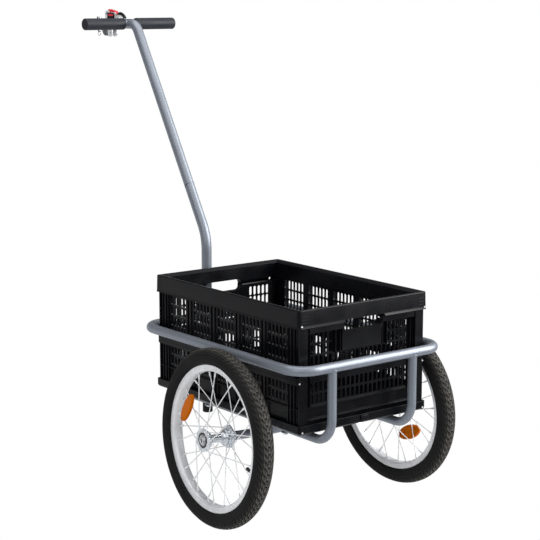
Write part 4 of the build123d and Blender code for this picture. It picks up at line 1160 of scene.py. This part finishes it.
    def hole_frame(self, bm, facing, low, high, hand):
        """Half of the frame round a hand hole: its level edge with two rounded corners and two uprights."""
        half, round_by, width = 0.052, 0.009, 0.005
        corner_z = low + round_by if hand < 0 else high - round_by
        open_z, edge_z = (high, low) if hand < 0 else (low, high)
        inner, outer = [(-half, open_z)], [(-half - width, open_z)]
        for step in range(9):
            turn = radians(180 - hand * 90 * step / 8)
            inner.append((-half + round_by + round_by * cos(turn), corner_z + round_by * sin(turn)))
            y = -half - width if step < 5 else inner[-1][0]
            z = edge_z + hand * width if step > 3 else inner[-1][1]
            outer.append((y, z))
        inner += [(-y, z) for y, z in reversed(inner)]
        outer += [(-y, z) for y, z in reversed(outer)]
        near, far = CRATE_MIDDLE + facing * 0.2520, CRATE_MIDDLE + facing * 0.2652
        rows = []
        for x in (near, far):
            rows.append([bm.verts.new((x, y, z)) for y, z in inner])
            rows.append([bm.verts.new((x, y, z)) for y, z in outer])
        a, b, c, d = rows
        for at in range(len(a) - 1):
            for first, second in ((a, b), (b, d), (d, c), (c, a)):
                bm.faces.new((first[at], first[at + 1], second[at + 1], second[at]))
        for at in (0, -1):
            bm.faces.new((a[at], b[at], d[at], c[at]))

    def collar_details(self):
        """The arched top of both hand holes, and louvres at the corners."""
        bm = bmesh.new()
        for facing in (-1, 1):
            self.hole_frame(bm, facing, 0.4665, 0.472, 1)
        for hand in (-1, 1):
            for step in range(3):
                low = 0.4765 + step * 0.0068
                for facing in (-1, 1):
                    near, far = span(facing, 0.2695, 0.2722, CRATE_MIDDLE)
                    y0, y1 = span(hand, 0.1595, 0.1745)
                    add_box(bm, (near, y0, low), (far, y1, low + 0.0022), 0.0004, 1)
                    near, far = span(hand, 0.1805, 0.1832)
                    x0, x1 = span(facing, 0.2485, 0.2635, CRATE_MIDDLE)
                    add_box(bm, (x0, near, low), (x1, far, low + 0.0022), 0.0004, 1)
        finish_piece(bm, "crate_collar_details", "frame", "crate", smooth=30)

    def base_details(self):
        """A catch in the middle of each end of the base."""
        bm = bmesh.new()
        for facing in (-1, 1):
            near, far = span(facing, 0.2700, 0.2765, CRATE_MIDDLE)
            add_box(bm, (near, -0.011, 0.2415), (far, 0.011, 0.2535), 0.0012)
        finish_piece(bm, "crate_base_catches", "frame", "crate", smooth=30)

    def pins(self):
        """Pale ends of pins and rivets, three to a corner."""
        bm = bmesh.new()
        for facing in (-1, 1):
            for hand in (-1, 1):
                x = CRATE_MIDDLE + facing * 0.2736
                for height, y, reach in (
                    (0.4715, 0.1752, 0.0), (0.3475, 0.1765, -0.0060), (0.2410, 0.1735, 0.0002),
                ):
                    spot = x + facing * (reach - 0.0012)
                    add_rod(
                        bm, (spot - facing * 0.001, hand * y, height), (spot + facing * 0.0011, hand * y, height),
                        0.0019, 16, 0.0004,
                    )
        finish_piece(bm, "crate_pin_ends", "frame", "pale")


# ---------------------------------------------------------------- stage
class TRAILER_OT_stage(bpy.types.Operator):
    """Make the floor, the lamps, the sky and the camera"""

    bl_idname = "trailer.stage"
    bl_label = "Studio stage"
    bl_options = {"REGISTER", "UNDO"}

    def lamp(self, name, spot, target, size, power):
        """A square lamp at a level-trailer point, looking at another."""
        light = bpy.data.lights.new(name, "AREA")
        light.shape = "RECTANGLE"
        light.size = light.size_y = size
        light.energy = power
        lamp = bpy.data.objects.new(name, light)
        bpy.context.scene.collection.objects.link(lamp)
        place, aim = level(*spot), level(*target)
        lamp.matrix_world = Matrix.Translation(place) @ (aim - place).to_track_quat("-Z", "Y").to_matrix().to_4x4()

    def rays(self, tree):
        """Two masks: for rays that a glossy surface sends out, and for rays from the camera or through glass."""
        path = tree.nodes.new("ShaderNodeLightPath").outputs
        return path["Is Glossy Ray"], combine(tree, "MAXIMUM", path["Is Camera Ray"], path["Is Transmission Ray"])

    def floor(self, colour):
        """A broad floor: plain background to the camera, and in gloss a pool of light round the trailer."""
        bm = bmesh.new()
        bmesh.ops.create_grid(bm, x_segments=1, y_segments=1, size=9.0)
        mesh = bpy.data.meshes.new("studio_floor")
        bm.to_mesh(mesh)
        bm.free()
        made = bpy.data.objects.new("studio_floor", mesh)
        bpy.context.scene.collection.objects.link(made)
        floor, tree, shader, where = blank_material("studio_floor")
        tree.nodes.remove(shader)
        result = tree.nodes["Material Output"]
        glossy, seen = self.rays(tree)
        matt = node(tree, "ShaderNodeBsdfDiffuse", Color=(*colour, 1)).outputs[0]
        white = node(tree, "ShaderNodeEmission", Color=(1, 1, 1, 1), Strength=1.0).outputs[0]
        away = node(tree, "ShaderNodeVectorMath", {"operation": "LENGTH"}, i0=where).outputs["Value"]
        near, far = 1.2, 3.2
        dark = bpy.context.scene.trailer_stage.dark_side
        pool = node(tree, "ShaderNodeMapRange", Value=away, From_Min=near, From_Max=far, To_Min=0.6, To_Max=dark)
        gloss = node(tree, "ShaderNodeEmission", Color=(1, 1, 1, 1), Strength=pool.outputs["Result"]).outputs[0]
        lit = node(tree, "ShaderNodeMixShader", i0=glossy, i1=matt, i2=gloss).outputs[0]
        shown = node(tree, "ShaderNodeMixShader", i0=seen, i1=lit, i2=white).outputs[0]
        feed(result, Surface=shown)
        mesh.materials.append(floor)

    def studio_side(self, tree, direction):
        """Brightness of the studio in gloss: dark on one side and bright on the other."""
        settings = bpy.context.scene.trailer_stage
        heading = radians(settings.bright_side)
        towards = (cos(heading), sin(heading), 0)
        aim = node(tree, "ShaderNodeVectorMath", {"operation": "DOT_PRODUCT"}, i0=direction, i1=towards)
        return spread(tree, ramp(tree, aim.outputs["Value"], -0.35, 0.85), settings.dark_side, 1.0)

    def sky(self, strength):
        """The sky: white to the eye, dark but for one side and a soft light overhead in gloss, even as light."""
        world = bpy.data.worlds.new("studio_sky")
        bpy.context.scene.world = world
        world.use_nodes = True
        tree = world.node_tree
        direction = tree.nodes.new("ShaderNodeTexCoord").outputs["Generated"]
        height = node(tree, "ShaderNodeSeparateXYZ", Vector=direction).outputs["Z"]
        side = self.studio_side(tree, direction)
        overhead = combine(tree, "MULTIPLY", ramp(tree, height, 0.40, 0.8), 0.75)
        above = combine(tree, "MULTIPLY", side, ramp(tree, height, -0.10, 0.45))
        glossy, seen = self.rays(tree)
        gloss = combine(tree, "MAXIMUM", above, overhead)
        lit = node(tree, "ShaderNodeMix", {"data_type": "FLOAT"}, Factor=glossy, A=strength, B=gloss)
        shown = node(tree, "ShaderNodeMix", {"data_type": "FLOAT"}, Factor=seen, A=lit.outputs["Result"], B=1.0)
        feed(tree.nodes["Background"], Color=(1, 1, 1, 1), Strength=shown.outputs["Result"])

    def camera(self, lens):
        """The camera at the rear left of the trailer, set square to the level trailer."""
        data = bpy.data.cameras.new("studio_camera")
        data.lens = lens
        data.sensor_width = 36.0
        data.clip_start = 0.05
        camera = bpy.data.objects.new("studio_camera", data)
        bpy.context.scene.collection.objects.link(camera)
        spot, heading, fall = (-2.6411, 2.1385, 1.1566), radians(-37.52), radians(-10.18)
        ahead = Vector((cos(fall) * cos(heading), cos(fall) * sin(heading), sin(fall)))
        right = Vector((sin(heading), -cos(heading), 0))
        above = right.cross(ahead)
        turn = Matrix((right, above, -ahead)).transposed().to_4x4()
        camera.matrix_world = PARKED @ Matrix.Translation(spot) @ turn
        bpy.context.scene.camera = camera

    def execute(self, context):
        settings = context.scene.trailer_stage
        self.floor(tuple(settings.floor_colour))
        self.sky(settings.sky)
        self.lamp("key_lamp", (-1500, -1900, 1700), (150, 0, 400), 2.4, settings.key_power)
        self.lamp("fill_lamp", (-1200, 2600, 1500), (150, 0, 400), 2.2, settings.fill_power)
        self.lamp("top_lamp", (300, 200, 2700), (150, 0, 300), 2.2, settings.top_power)
        self.camera(settings.lens)
        context.scene.view_settings.view_transform = "Standard"
        return {"FINISHED"}


class TRAILER_PT_panel(bpy.types.Panel):
    """The trailer's operators and settings"""

    bl_idname = "TRAILER_PT_panel"
    bl_label = "Cargo trailer"
    bl_space_type = "VIEW_3D"
    bl_region_type = "UI"
    bl_category = "Trailer"

    def draw(self, context):
        layout = self.layout
        for operator in OPERATORS:
            layout.operator(operator.bl_idname)
        for settings, group in SETTINGS.items():
            box = layout.box()
            for name in group.__annotations__:
                box.prop(getattr(context.scene, settings), name)


SETTINGS = {
    "trailer_wheels": WheelSettings,
    "trailer_frame": FrameSettings,
    "trailer_crate": CrateSettings,
    "trailer_stage": StageSettings,
}
OPERATORS = (
    TRAILER_OT_tyres,
    TRAILER_OT_rims,
    TRAILER_OT_hubs,
    TRAILER_OT_spokes,
    TRAILER_OT_reflectors,
    TRAILER_OT_tubes,
    TRAILER_OT_coupling,
    TRAILER_OT_crate,
    TRAILER_OT_stage,
)


def register():
    for name, group in SETTINGS.items():
        bpy.utils.register_class(group)
        setattr(bpy.types.Scene, name, PointerProperty(type=group))
    for operator in OPERATORS:
        bpy.utils.register_class(operator)
    bpy.utils.register_class(TRAILER_PT_panel)


def unregister():
    bpy.utils.unregister_class(TRAILER_PT_panel)
    for operator in reversed(OPERATORS):
        bpy.utils.unregister_class(operator)
    for name, group in SETTINGS.items():
        delattr(bpy.types.Scene, name)
        bpy.utils.unregister_class(group)


def main():
    register()
    for operator in OPERATORS:
        group, name = operator.bl_idname.split(".")
        getattr(getattr(bpy.ops, group), name)()


if __name__ == "__main__":
    main()
